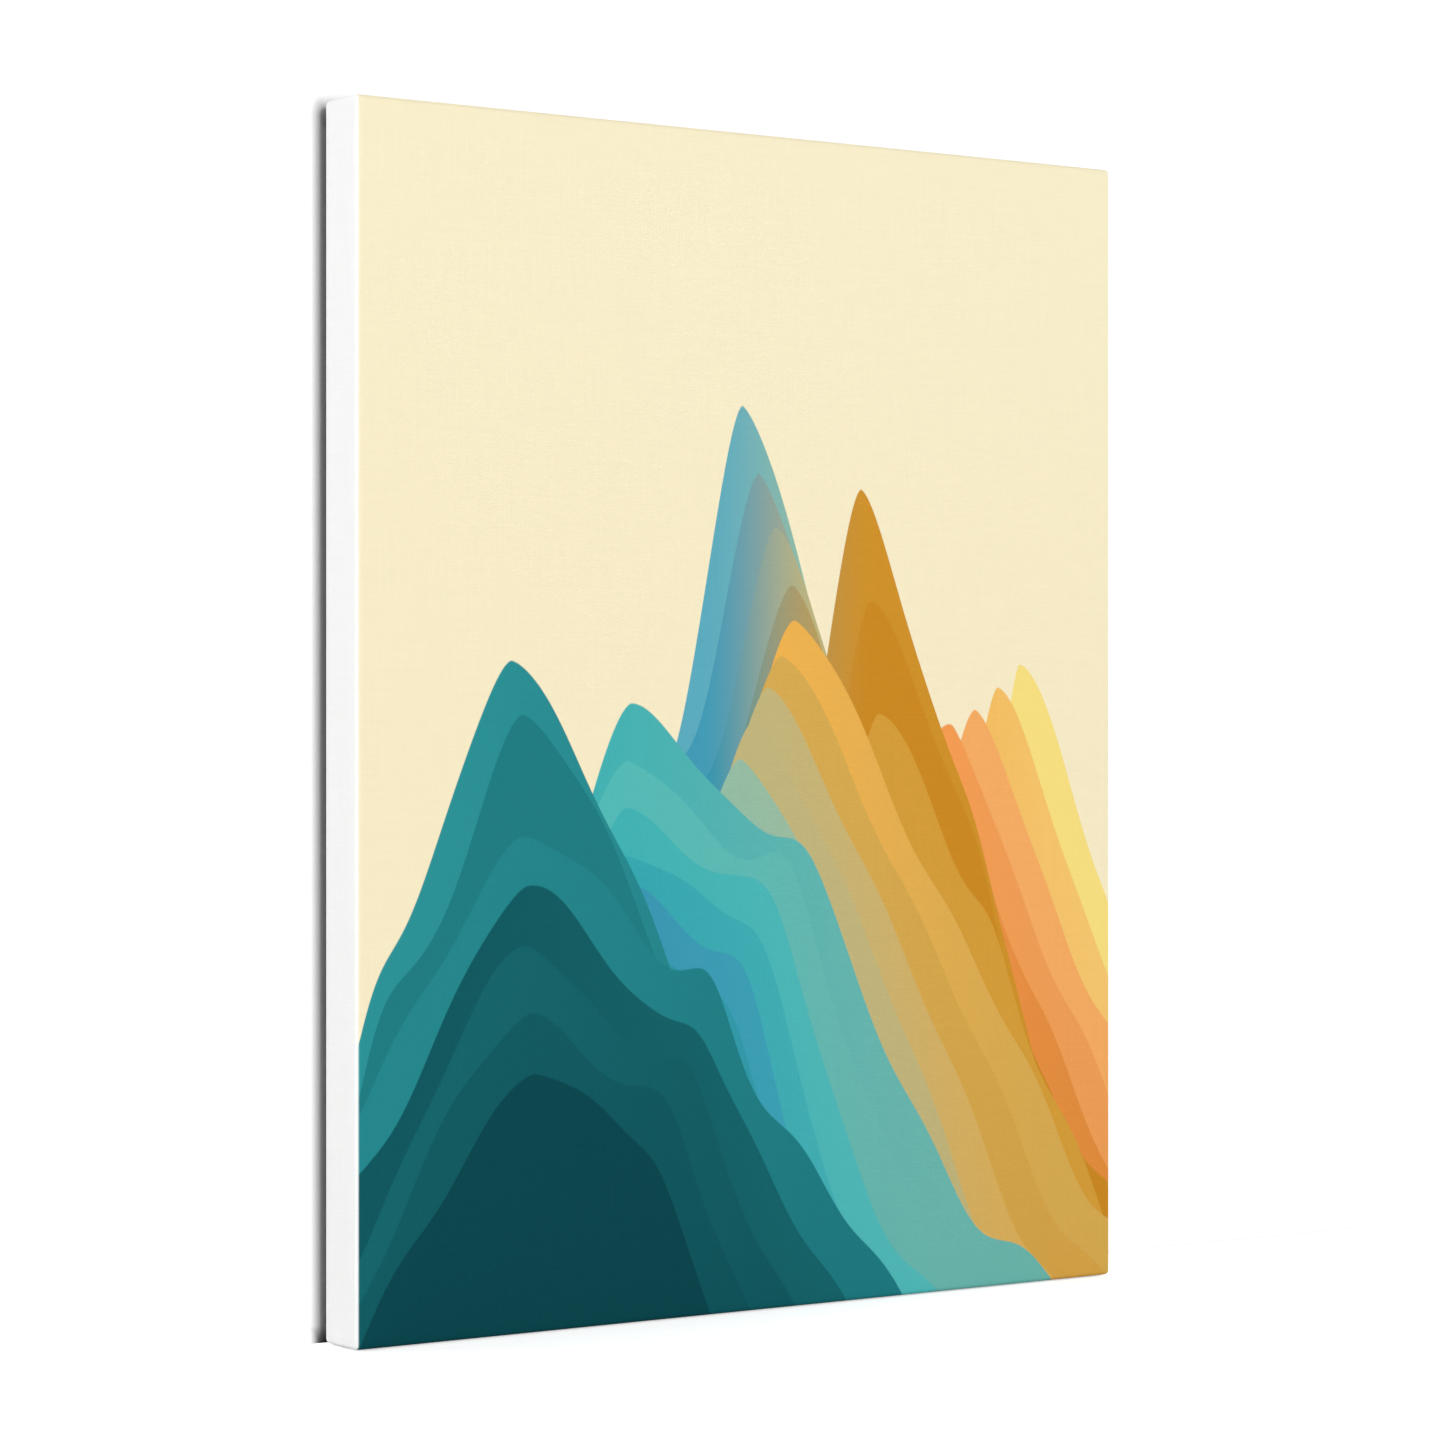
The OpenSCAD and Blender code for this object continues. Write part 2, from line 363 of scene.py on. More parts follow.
class PlainWeave(Effect):
    """Threads going over and under each other."""

    name = "plain_weave"
    takes = {Kind.VECTOR: ("Lay",), Kind.NUMBER: ("Pitch", "Slub")}
    gives = {Kind.NUMBER: ("Height", "Gap", "Fleck")}

    def draw(self, bench: Bench, given: dict[str, Wire]) -> dict[str, Wire]:
        """Draws pillows at the crossings, long one way or the other by turns; see Effect.draw."""
        lay = given["Lay"]
        thick_warp = bench.speckle(bench.lay(lay, (1500, 35, 1)), 1.0, 1.0)
        thick_weft = bench.speckle(bench.lay(lay, (35, 1500, 1), shift=(7, 3, 0)), 1.0, 1.0)
        bend = (bench.speckle(lay, 90.0, 1.0) - 0.5) * given["Slub"]
        across, along, _ = bench.parts(lay)
        warp, weft = (bench.sum("COSINE", (spot / given["Pitch"] + bend) * math.pi)
                      for spot in (across, along))
        over = bench.range(warp * weft, -0.25, 0.25)
        warp, weft = abs(warp), abs(weft)
        standing = warp ** 0.9 * weft ** 0.3 * bench.range(thick_warp, 0.2, 0.8, 0.75, 1.1)
        lying = warp ** 0.3 * weft ** 0.9 * bench.range(thick_weft, 0.2, 0.8, 0.75, 1.1)
        height = standing * over + lying * (1.0 - over)
        # Gap is where the weave lies low; the cloth uses it for its roughness and for painted shade in the
        # gaps.
        return {"Height": height, "Gap": bench.range(height, 0.35, 0.0),
                "Fleck": (thick_warp + thick_weft) * 0.5}


class HillLine(Effect):
    """One flat printed hill in front of what is already there."""

    name = "printed_hill"
    takes = {
        Kind.COLOUR: ("Under", "Left Ink", "Right Ink"),
        Kind.NUMBER: (
            "Across", "Up", "Fade Start", "Fade End", "Peak Across", "Peak Rise", "Left Spread", "Right Spread",
            "Foot",
            "Shoulder Across", "Shoulder Rise", "Shoulder Spread", "Ripple", "Ripple Turns", "Ripple Start",
        ),
    }
    gives = {Kind.COLOUR: ("Ink",)}

    def draw(self, bench: Bench, given: dict[str, Wire]) -> dict[str, Wire]:
        """Draws a peak with a shoulder and a ripple that grows down its slopes; see Effect.draw."""
        across = given["Across"]

        def bell(centre: Wire, spread: Wire, power: float) -> Wire:
            """One over one plus a power of the distance in spreads."""
            return 1.0 / (abs((across - centre) / spread) ** power + 1.0)

        right = bench.sum("GREATER_THAN", across, given["Peak Across"])
        spread = right * (given["Right Spread"] - given["Left Spread"]) + given["Left Spread"]
        peak = bell(given["Peak Across"], spread, 1.6)
        shoulder = bell(given["Shoulder Across"], given["Shoulder Spread"], 2.0)
        line = peak * given["Peak Rise"] + given["Foot"] + shoulder * given["Shoulder Rise"]
        turns = across * given["Ripple Turns"] + given["Ripple Start"]
        ripple = bench.wave(turns) + bench.wave(turns * 2.3 + 0.3) * 0.45
        line = line + ripple * (1.0 - peak * 0.75) * given["Ripple"]
        mask = bench.range(line - given["Up"], -0.0009, 0.0009)
        turned = bench.range(across, given["Fade Start"], given["Fade End"])
        tone = bench.mix(turned, given["Left Ink"], given["Right Ink"])
        return {"Ink": bench.mix(mask, given["Under"], tone)}


class PlankGrain(Effect):
    """Growth rings, fibres and one knot in a plank whose length lies along X."""

    name = "plank_grain"
    takes = {
        Kind.VECTOR: ("Place", "Heart", "Knot"),
        Kind.NUMBER: ("Ring Pitch", "Wander", "Knot Size"),
        Kind.COLOUR: ("Early", "Late", "Knot Tone"),
    }
    gives = {Kind.COLOUR: ("Tone",), Kind.NUMBER: ("Height", "Band")}

    def draw(self, bench: Bench, given: dict[str, Wire]) -> dict[str, Wire]:
        """Draws rings round the tree's heart, bent by a slow wander and round the knot; see Effect.draw."""
        place = given["Place"]
        slow = bench.speckle(bench.lay(place, (5, 28, 28)), 1.0, 2.0, 0.55)
        away = bench.move("LENGTH", bench.move("SUBTRACT", place, given["Knot"])) / given["Knot Size"]
        swirl = bench.sum("EXPONENT", away * away * -0.12)
        _, y, z = bench.parts(bench.move("SUBTRACT", place, given["Heart"]))
        radius = bench.move("LENGTH", bench.vector(0.0, y, z))
        years = bench.speckle(bench.vector(radius, 0.0), 170.0, 1.0)
        rings = (radius / given["Ring Pitch"] + (years - 0.5) * 1.6 + (slow - 0.5) * given["Wander"]
                 + swirl * 2.2)
        turn = bench.sum("FRACT", rings)
        band = bench.range(turn, 0.35, 0.88) * bench.range(turn, 1.0, 0.93)
        fibre = bench.speckle(bench.lay(place, (60, 2600, 2600)), 1.0, 2.0, 0.6)
        pore = bench.speckle(bench.lay(place, (220, 5200, 5200), shift=(3, 9, 4)), 1.0, 1.0)
        patch = bench.speckle(bench.lay(place, (9, 60, 60), shift=(5, 1, 8)), 1.0, 2.0)
        share = band * bench.range(patch, 0.2, 0.8, 0.35, 0.8)
        share = bench.sum("MULTIPLY_ADD", fibre - 0.5, 0.55, share, clamp=True)
        tone = bench.mix(share, given["Early"], given["Late"])
        for share, shade in (
            (bench.range(patch, 0.35, 0.75, 0.0, 0.22), given["Late"]),
            (bench.range(pore, 0.62, 0.78, 0.0, 0.30), given["Knot Tone"]),
            (bench.range(away, 3.2, 1.0) * 0.55, given["Late"]),
            (bench.range(away, 1.15, 0.55), given["Knot Tone"]),
        ):
            tone = bench.mix(share, tone, shade)
        height = (band + fibre) * 0.5 - bench.range(pore, 0.62, 0.78, 0.0, 0.5)
        return {"Tone": tone, "Height": height, "Band": band}


class SawMarks(Effect):
    """Fine ridges left across a sawn or planed face."""

    name = "saw_marks"
    takes = {Kind.VECTOR: ("Place",), Kind.NUMBER: ("Pitch",)}
    gives = {Kind.NUMBER: ("Height",)}

    def draw(self, bench: Bench, given: dict[str, Wire]) -> dict[str, Wire]:
        """Draws uneven waves along X; see Effect.draw."""
        place = given["Place"]
        turns = bench.parts(place)[0] / given["Pitch"] + bench.speckle(place, 160.0, 2.0) * 1.5
        return {"Height": bench.wave(turns) * bench.range(bench.speckle(place, 70.0, 1.0), 0.35, 0.7)}


class Handling(Effect):
    """Smudges, fine scratches and settled dust."""

    name = "handling"
    takes = {Kind.VECTOR: ("Place",), Kind.NUMBER: ("Fineness",)}
    gives = {Kind.NUMBER: ("Smudge", "Scratch", "Dust")}

    def draw(self, bench: Bench, given: dict[str, Wire]) -> dict[str, Wire]:
        """Draws soft blots, thin crossing lines and specks; see Effect.draw."""
        place = bench.move("SCALE", given["Place"], scale=given["Fineness"])
        smudge = bench.speckle(place, 1.0, 3.0, 0.55)
        lines = []
        for turn, scale in (((0.3, 0.2, 0.5), (2, 34, 34)), ((-0.2, 0.4, -0.9), (30, 2.2, 30))):
            streak = bench.speckle(bench.lay(place, scale, turn=turn), 1.0, 1.0)
            lines.append(bench.range(abs(streak - 0.5), 0.012, 0.0))
        scratch = bench.sum("MAXIMUM", *lines) * bench.range(smudge, 0.4, 0.6)
        dust = bench.range(bench.speckle(place, 22.0, 1.0), 0.66, 0.76)
        return {"Smudge": smudge, "Scratch": scratch, "Dust": dust}


class Effects:
    """Every shared effect, built once."""

    def __init__(self) -> None:
        """Builds the node groups."""
        self.weave = PlainWeave()
        self.hill = HillLine()
        self.grain = PlankGrain()
        self.saw = SawMarks()
        self.handling = Handling()


# ---------------------------------------------------------------- the picture


@dataclass(frozen=True)
class HillRun:
    """A run of printed hills, each a step in front of the last, in shares of the picture's sides.

    peak is across and up, spread the half widths left and right, shoulder its place across, rise and
    spread, ripple its size, turns and start. inks are each hill's colours left and right, and fade is
    where one turns into the other. drift, widen, sink, roll and turn are what each hill adds to the
    peak, spread, foot, shoulder and ripple of the one behind it.
    """

    peak: tuple[float, float]
    spread: tuple[float, float]
    foot: float
    shoulder: tuple[float, float, float]
    ripple: tuple[float, float, float]
    inks: tuple[tuple[Colour, Colour], ...]
    fade: tuple[float, float]
    drift: tuple[float, float]
    widen: tuple[float, float]
    sink: float
    roll: tuple[float, float]
    turn: float

    def print_on(self, bench: Bench, hill: HillLine, under: Feed, across: Feed, up: Feed) -> Feed:
        """Prints the run over what is there.

        Args:
            bench: The material's bench.
            hill: The effect that prints one hill.
            under: The colour below.
            across: The place across, 0 to 1.
            up: The place up, 0 to 1.

        Returns:
            The colour with the run on it.
        """
        for step, (left, right) in enumerate(self.inks):
            foot = self.foot + self.sink * step
            under = hill.place(
                bench, Under=under, Across=across, Up=up, Left_Ink=left, Right_Ink=right,
                Fade_Start=self.fade[0], Fade_End=self.fade[1],
                Peak_Across=self.peak[0] + self.drift[0] * step,
                Peak_Rise=self.peak[1] + self.drift[1] * step - foot,
                Left_Spread=self.spread[0] + self.widen[0] * step,
                Right_Spread=self.spread[1] + self.widen[1] * step,
                Foot=foot,
                Shoulder_Across=self.shoulder[0] + self.roll[0] * step,
                Shoulder_Rise=self.shoulder[1] + self.roll[1] * step,
                Shoulder_Spread=self.shoulder[2],
                Ripple=self.ripple[0], Ripple_Turns=self.ripple[1],
                Ripple_Start=self.ripple[2] + self.turn * step,
            )["Ink"]
        return under


CREAM, PALE_CREAM = ink(250, 239, 204), ink(249, 237, 201)
DARKEST, DEEP, PINE_TEAL = ink(8, 71, 79), ink(14, 88, 95), ink(20, 103, 109)
TEAL, LAGOON, TURQUOISE = ink(31, 125, 131), ink(44, 147, 152), ink(64, 178, 180)
AQUA, BLUE, SAGE, TAN = ink(108, 184, 176), ink(58, 148, 178), ink(150, 190, 165), ink(195, 182, 125)
GOLD, OCHRE, AMBER = ink(216, 172, 83), ink(208, 146, 42), ink(242, 180, 80)
ORANGE, PEACH, LEMON = ink(249, 155, 80), ink(247, 173, 100), ink(249, 225, 130)

HILLS = (
    HillRun(
        (0.865, 0.545), (0.075, 0.20), -0.05, (0.700, 0.060, 0.040), (0.020, 4.1, 0.62),
        ((LEMON, LEMON), (AMBER, ink(248, 200, 112)), (PEACH, PEACH), (ORANGE, ink(240, 160, 88)),
         (ink(247, 150, 82), ink(228, 142, 62))),
        (0.6, 1.0), (-0.032, -0.026), (0.030, 0.024), -0.07, (0.004, 0.006), 0.21),
    HillRun(
        (0.480, 0.750), (0.12, 0.26), -0.20, (0.355, 0.17, 0.040), (0.022, 3.8, 0.52),
        ((ink(92, 172, 192), SAGE), (ink(66, 156, 184), ink(176, 172, 130)), (ink(48, 150, 176), TAN),
         (ink(46, 150, 160), ink(186, 158, 92))),
        (0.42, 0.60), (0.022, -0.050), (0.022, 0.0), -0.07, (0.022, -0.010), 0.24),
    HillRun(
        (0.640, 0.700), (0.13, 0.21), -0.20, (0.80, 0.06, 0.045), (0.024, 3.7, 0.28),
        ((ink(172, 150, 92), OCHRE), (ink(190, 156, 86), ink(204, 138, 34)),
         (ink(196, 160, 84), ink(214, 158, 58))),
        (0.52, 0.66), (0.012, -0.100), (0.01, 0.050), -0.08, (0.012, -0.006), 0.27),
    HillRun(
        (0.550, 0.575), (0.20, 0.42), -0.40, (0.41, 0.060, 0.05), (0.026, 3.4, 0.42),
        ((AMBER, GOLD), (GOLD, ink(214, 166, 74)), (TAN, ink(222, 176, 88)), (TAN, TAN), (SAGE, TAN),
         (SAGE, SAGE)),
        (0.45, 0.95), (-0.018, -0.028), (0.004, -0.006), -0.06, (-0.012, 0.006), 0.17),
    HillRun(
        (0.335, 0.50), (0.26, 0.56), -0.50, (0.56, 0.085, 0.06), (0.028, 3.3, 0.16),
        ((TURQUOISE, AQUA), (ink(82, 188, 184), AQUA), (TURQUOISE, ink(84, 188, 188)),
         (ink(52, 166, 176), ink(72, 180, 186)), (BLUE, ink(64, 172, 188)),
         (ink(46, 150, 164), ink(56, 160, 180))),
        (0.2, 0.8), (-0.004, -0.038), (0.0, -0.014), -0.08, (-0.018, 0.006), 0.21),
    HillRun(
        (0.185, 0.550), (0.20, 0.33), -0.30, (0.02, 0.09, 0.05), (0.024, 3.6, 0.02),
        ((LAGOON, TEAL), (TEAL, TEAL)),
        (0.0, 0.7), (0.014, -0.050), (0.02, 0.03), -0.06, (0.004, 0.01), 0.16),
    HillRun(
        (0.200, 0.405), (0.33, 0.46), -0.34, (0.44, 0.080, 0.05), (0.026, 3.5, 0.22),
        ((ink(36, 136, 142), ink(30, 124, 131)), (DEEP, PINE_TEAL), (PINE_TEAL, DEEP),
         (ink(15, 92, 98), ink(13, 84, 92)), (DARKEST, DARKEST)),
        (0.0, 0.7), (0.003, -0.048), (0.008, -0.018), -0.05, (-0.018, -0.006), 0.23),
)


# ---------------------------------------------------------------- finishes


@dataclass(frozen=True)
class Finish:
    """A material's recipe. A kind of finish adds its own sizes and colours, and lays its nodes in lay()."""

    name: str
    plain: ClassVar[dict[str, Union[float, Colour]]] = {}

    def make(self, effects: Effects) -> bpy.types.Material:
        """Builds the material.

        Args:
            effects: The shared effects.

        Returns:
            The material.
        """
        coat = Coat(self.name, self.plain)
        self.lay(coat, coat.bench, effects)
        return coat.material

    def lay(self, coat: "Coat", bench: Bench, effects: Effects) -> None:
        """Lays the finish's nodes.

        Args:
            coat: The material to dress.
            bench: Its bench.
            effects: The shared effects.
        """
        raise NotImplementedError


class Coat:
    """A material under way, with its bench, its object coordinates and its shader."""

    def __init__(self, name: str, plain: dict[str, Union[float, Colour]]) -> None:
        """Makes the material.

        Args:
            name: Its name.
            plain: Values set on the shader's own sockets.
        """
        self.material = bpy.data.materials.new(name)
        self.material.use_nodes = True
        self.bench = Bench(self.material.node_tree)
        self.shader = self.material.node_tree.nodes["Principled BSDF"]
        for socket, value in plain.items():
            self.bench.feed(self.shader.inputs[socket], value)
        self.place = self.bench.out("ShaderNodeTexCoord", "Object")

    def surface(self, colour: Feed = None, roughness: Feed = None) -> None:
        """Feeds the base colour and the roughness."""
        self.bench.feed(self.shader.inputs["Base Color"], colour)
        self.bench.feed(self.shader.inputs["Roughness"], roughness)

    def relief(self, height: Feed, depth: float, strength: float) -> None:
        """Feeds the normal from a height.

        Args:
            height: The height, 0 to 1.
            depth: How deep 1 is, in metres.
            strength: How much of it shows.
        """
        node = self.bench.add("ShaderNodeBump")
        for name, value in (("Distance", depth), ("Strength", strength), ("Height", height)):
            self.bench.feed(node.inputs[name], value)
        self.bench.feed(self.shader.inputs["Normal"], Wire(self.bench, node.outputs[0]))


@dataclass(frozen=True)
class ClothFinish(Finish):
    """Primed cloth: the picture on its flat face, white round the sides and bare threads inside."""

    centre: Vector
    size: tuple[float, float]
    face: float
    bend: float
    left_margin: float = 0.70 * MM
    right_margin: float = 0.12 * MM
    blur: float = 0.1 * MM
    pitch: float = 0.52 * MM
    primer: Colour = (0.800, 0.803, 0.800)
    primer_gap_shade: Colour = (0.70, 0.70, 0.69)
    bare: Colour = (0.735, 0.690, 0.590)
    bare_gap_shade: Colour = (0.42, 0.37, 0.28)
    fleck: Colour = (0.80, 0.77, 0.70)
    husk: Colour = (0.30, 0.22, 0.12)
    light: float = 1.16
    plain = {"Specular IOR Level": 0.03}

    def lay(self, coat: Coat, bench: Bench, effects: Effects) -> None:
        """Lays the weave with painted shade in its gaps, the print over the primer, and the bare inner skin;
        see Finish.lay.
        """
        threads = bench.out("ShaderNodeUVMap", uv_map="ThreadLay")
        weave = effects.weave.place(bench, Lay=threads, Pitch=self.pitch, Slub=0.5)
        # Painted shade: the primer is a little darker in the weave's gaps.
        white = bench.mix(weave["Gap"] * 0.05, self.primer, self.primer_gap_shade)
        crest = bench.range(weave["Fleck"], 0.3, 0.7, 0.975, 1.0)
        outside = bench.mix(self.printed(coat, bench), white, self.picture(coat, bench, effects))
        outside = bench.mix(1.0, outside, bench.vector(crest, crest, crest), "MULTIPLY")
        # Painted shade: the bare inner skin is much darker in the weave's gaps.
        inside = bench.mix(weave["Gap"] * 0.55, self.bare, self.bare_gap_shade)
        inside = bench.mix(bench.range(weave["Fleck"], 0.35, 0.65, 0.0, 0.35), inside, self.fleck)
        husks = bench.range(bench.speckle(bench.lay(threads, (900, 300, 1)), 1.0, 1.0), 0.74, 0.80)
        inside = bench.mix(husks * 0.6, inside, self.husk)
        inner_skin = bench.out("ShaderNodeAttribute", "Fac", attribute_name="inner_skin")
        coat.surface(bench.mix(inner_skin, outside, inside), weave["Gap"] * 0.12 + 0.72)
        coat.relief(bench.speckle(coat.place, 260.0, 2.0) * 0.35 + weave["Height"], 0.07 * MM, 0.6)

    def picture(self, coat: Coat, bench: Bench, effects: Effects) -> Wire:
        """Prints the hills over a pale sky, and returns the picture's colour."""
        x, _, z = bench.parts(bench.lay(coat.place, shift=tuple(-self.centre)))
        across, up = x / self.size[0] + 0.5, z / self.size[1] + 0.5
        tone = bench.mix(bench.range(up, 0.45, 1.0), PALE_CREAM, CREAM)
        for run in HILLS:
            tone = run.print_on(bench, effects.hill, tone, across, up)
        return bench.mix(1.0, tone, (1 / self.light,) * 3, "MULTIPLY")

    def printed(self, coat: Coat, bench: Bench) -> Wire:
        """Says where the cloth is printed: 1 on the face, 0 in its margins and on the sides."""
        x, y, _ = bench.parts(coat.place)
        edge, half = self.face + self.bend * 0.9, self.size[0] / 2
        left, right = self.centre.x - half + self.left_margin, self.centre.x + half - self.right_margin
        soft = 3 * self.blur
        return (bench.range(y, edge + self.blur, edge - self.blur) * bench.range(x, left - soft, left + soft)
                * bench.range(x, right + self.blur, right - self.blur))


@dataclass(frozen=True)
class ThreadFinish(Finish):
    """Bare cotton thread, fuzzy and loosely twisted."""

    pale: Colour = (0.80, 0.77, 0.70)
    deep: Colour = (0.70, 0.66, 0.56)
    plain = {"Roughness": 0.85, "Sheen Weight": 0.2}

    def lay(self, coat: Coat, bench: Bench, effects: Effects) -> None:
        """Lays the fuzz and the twist; see Finish.lay."""
        coat.surface(bench.mix(bench.speckle(coat.place, 2400.0, 1.0), self.pale, self.deep))
        coat.relief(bench.speckle(coat.place, 9000.0, 1.0), 0.03 * MM, 0.5)


class Run(Enum):
    """Which way a plank's grain runs, as the turn that brings it to X."""

    ACROSS = (0.0, 0.0, 0.0)
    UPRIGHT = (0.0, math.pi / 2, 0.0)


@dataclass(frozen=True)
class WoodFinish(Finish):
    """Bare softwood, planed or sawn, with its own rings and knot."""

    run: Run
    heart: tuple[float, float, float]
    knot: tuple[float, float, float]
    knot_size: float = 3.2 * MM
    ring_pitch: float = 2.3 * MM
    wander: float = 3.4
    early: Colour = (0.760, 0.560, 0.330)
    late: Colour = (0.520, 0.310, 0.140)
    dark: Colour = (0.200, 0.100, 0.045)
    dust: Colour = (0.86, 0.80, 0.68)
    saw_pitch: float = 1.6 * MM
    saw_depth: float = 0.015 * MM
    grain_depth: float = 0.05 * MM
    scatter: float = 0.0
    plain = {"Specular IOR Level": 0.35}

    def lay(self, coat: Coat, bench: Bench, effects: Effects) -> None:
        """Lays the grain, the saw marks and the wear; see Finish.lay."""
        place = bench.lay(coat.place, turn=self.run.value)
        if self.scatter:
            stray = bench.out("ShaderNodeObjectInfo", "Random") * self.scatter
            place = bench.move("ADD", place, bench.vector(stray, 0.0, stray / 3))
        grain = effects.grain.place(
            bench, Place=place, Heart=self.heart, Ring_Pitch=self.ring_pitch, Wander=self.wander,
            Knot=self.knot,
            Knot_Size=self.knot_size, Early=self.early, Late=self.late, Knot_Tone=self.dark)
        marks = effects.saw.place(bench, Place=place, Pitch=self.saw_pitch)["Height"]
        wear = effects.handling.place(bench, Place=coat.place, Fineness=60.0)
        tone = bench.mix(wear["Dust"] * 0.18, grain["Tone"], self.dust)
        tone = bench.mix(bench.range(wear["Smudge"], 0.55, 0.8, 0.0, 0.16), tone, self.late)
        coat.surface(tone, bench.range(wear["Smudge"], 0.3, 0.7, 0.62, 0.74) - grain["Band"] * 0.12)
        coat.relief(marks * (self.saw_depth / self.grain_depth) + grain["Height"], self.grain_depth, 0.8)


@dataclass(frozen=True)
class MetalFinish(Finish):
    """Plated or drawn steel with smudges and fine scratches."""

    tone: Colour
    stain: Colour
    rough: tuple[float, float]
    fineness: float = 260.0
    stain_share: float = 0.5
    bright: Colour = (0.90, 0.90, 0.91)
    plain = {"Metallic": 1.0}

    def lay(self, coat: Coat, bench: Bench, effects: Effects) -> None:
        """Lays the stains, scratches and dust; see Finish.lay."""
        wear = effects.handling.place(bench, Place=coat.place, Fineness=self.fineness)
        tone = bench.mix(bench.range(wear["Smudge"], 0.35, 0.75, 0.0, self.stain_share), self.tone,
                         self.stain)
        rough = bench.range(wear["Smudge"], 0.3, 0.7, *self.rough)
        coat.surface(bench.mix(wear["Scratch"] * 0.4, tone, self.bright),
                     bench.sum("MULTIPLY_ADD", wear["Dust"], 0.25, rough, clamp=True))
        coat.relief(wear["Smudge"] * 0.6 - wear["Scratch"] * 0.4, 0.02 * MM, 0.7)


@dataclass(frozen=True)
class RubberFinish(Finish):
    """Matte moulded rubber with a fine skin and dust."""

    tone: Colour = (0.055, 0.055, 0.060)
    dull: Colour = (0.22, 0.21, 0.20)
    dust: Colour = (0.45, 0.43, 0.40)
    plain = {"Specular IOR Level": 0.35}

    def lay(self, coat: Coat, bench: Bench, effects: Effects) -> None:
        """Lays the dull patches, the dust and the skin; see Finish.lay."""
        wear = effects.handling.place(bench, Place=coat.place, Fineness=220.0)
        tone = bench.mix(bench.range(wear["Smudge"], 0.4, 0.8, 0.0, 0.35), self.tone, self.dull)
        coat.surface(bench.mix(wear["Dust"] * 0.5, tone, self.dust),
                     bench.range(wear["Smudge"], 0.3, 0.7, 0.62, 0.82))
        coat.relief(bench.speckle(coat.place, 4200.0, 2.0), 0.04 * MM, 0.6)


# ---------------------------------------------------------------- the cloth


class Side(Enum):
    """A side of the frame, as its outward direction across and up."""

    TOP = (0, 1)
    BOTTOM = (0, -1)
    RIGHT = (1, 0)
    LEFT = (-1, 0)


CORNERS = ((1, 1), (-1, 1), (1, -1), (-1, -1))
ACROSS, DEEP_WAY, UPWARD = Vector((1, 0, 0)), Vector((0, 1, 0)), Vector((0, 0, 1))

# Where the cloth lies in the OFBake map's square: left, low, wide and tall. The flat parts go by
# whether they are in front and on the outer skin; the sides by their axis and skin, with a step between two.
FLAT_BOXES = {
    (True, True): (0.004, 0.004, 0.776, 0.988), (True, False): (0.79, 0.004, 0.2, 0.2545),
    (False, True): (0.79, 0.27, 0.2, 0.2545), (False, False): (0.79, 0.535, 0.08, 0.10),
}
SIDE_BOXES = {
    (0, True): (0.79, 0.65, 0.02, 0.34, 0.024), (0, False): (0.89, 0.535, 0.008, 0.1, 0.012),
    (2, True): (0.84, 0.65, 0.02, 0.34, 0.024), (2, False): (0.92, 0.535, 0.008, 0.1, 0.012),
}


def crowns(side: Side, gap: float = 8 * MM) -> list[tuple[float, float]]:
    """Finds each staple of a side from its row's solids.

    Args:
        side: The side.
        gap: The clear space along the row that parts two staples.

    Returns:
        The middle of each staple, across and up.
    """
    axis = 2 if side.value[0] else 0
    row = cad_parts[f"staples_{side.name.lower()}"]
    staples: list[list[Vector]] = []
    for spot in sorted((vert.co for vert in row.data.vertices), key=lambda co: co[axis]):
        if not staples or spot[axis] - staples[-1][-1][axis] > gap:
            staples.append([])
        staples[-1].append(spot)
    return [tuple((min(spot[i] for spot in staple) + max(spot[i] for spot in staple)) / 2 for i in (0, 2))
            for staple in staples]


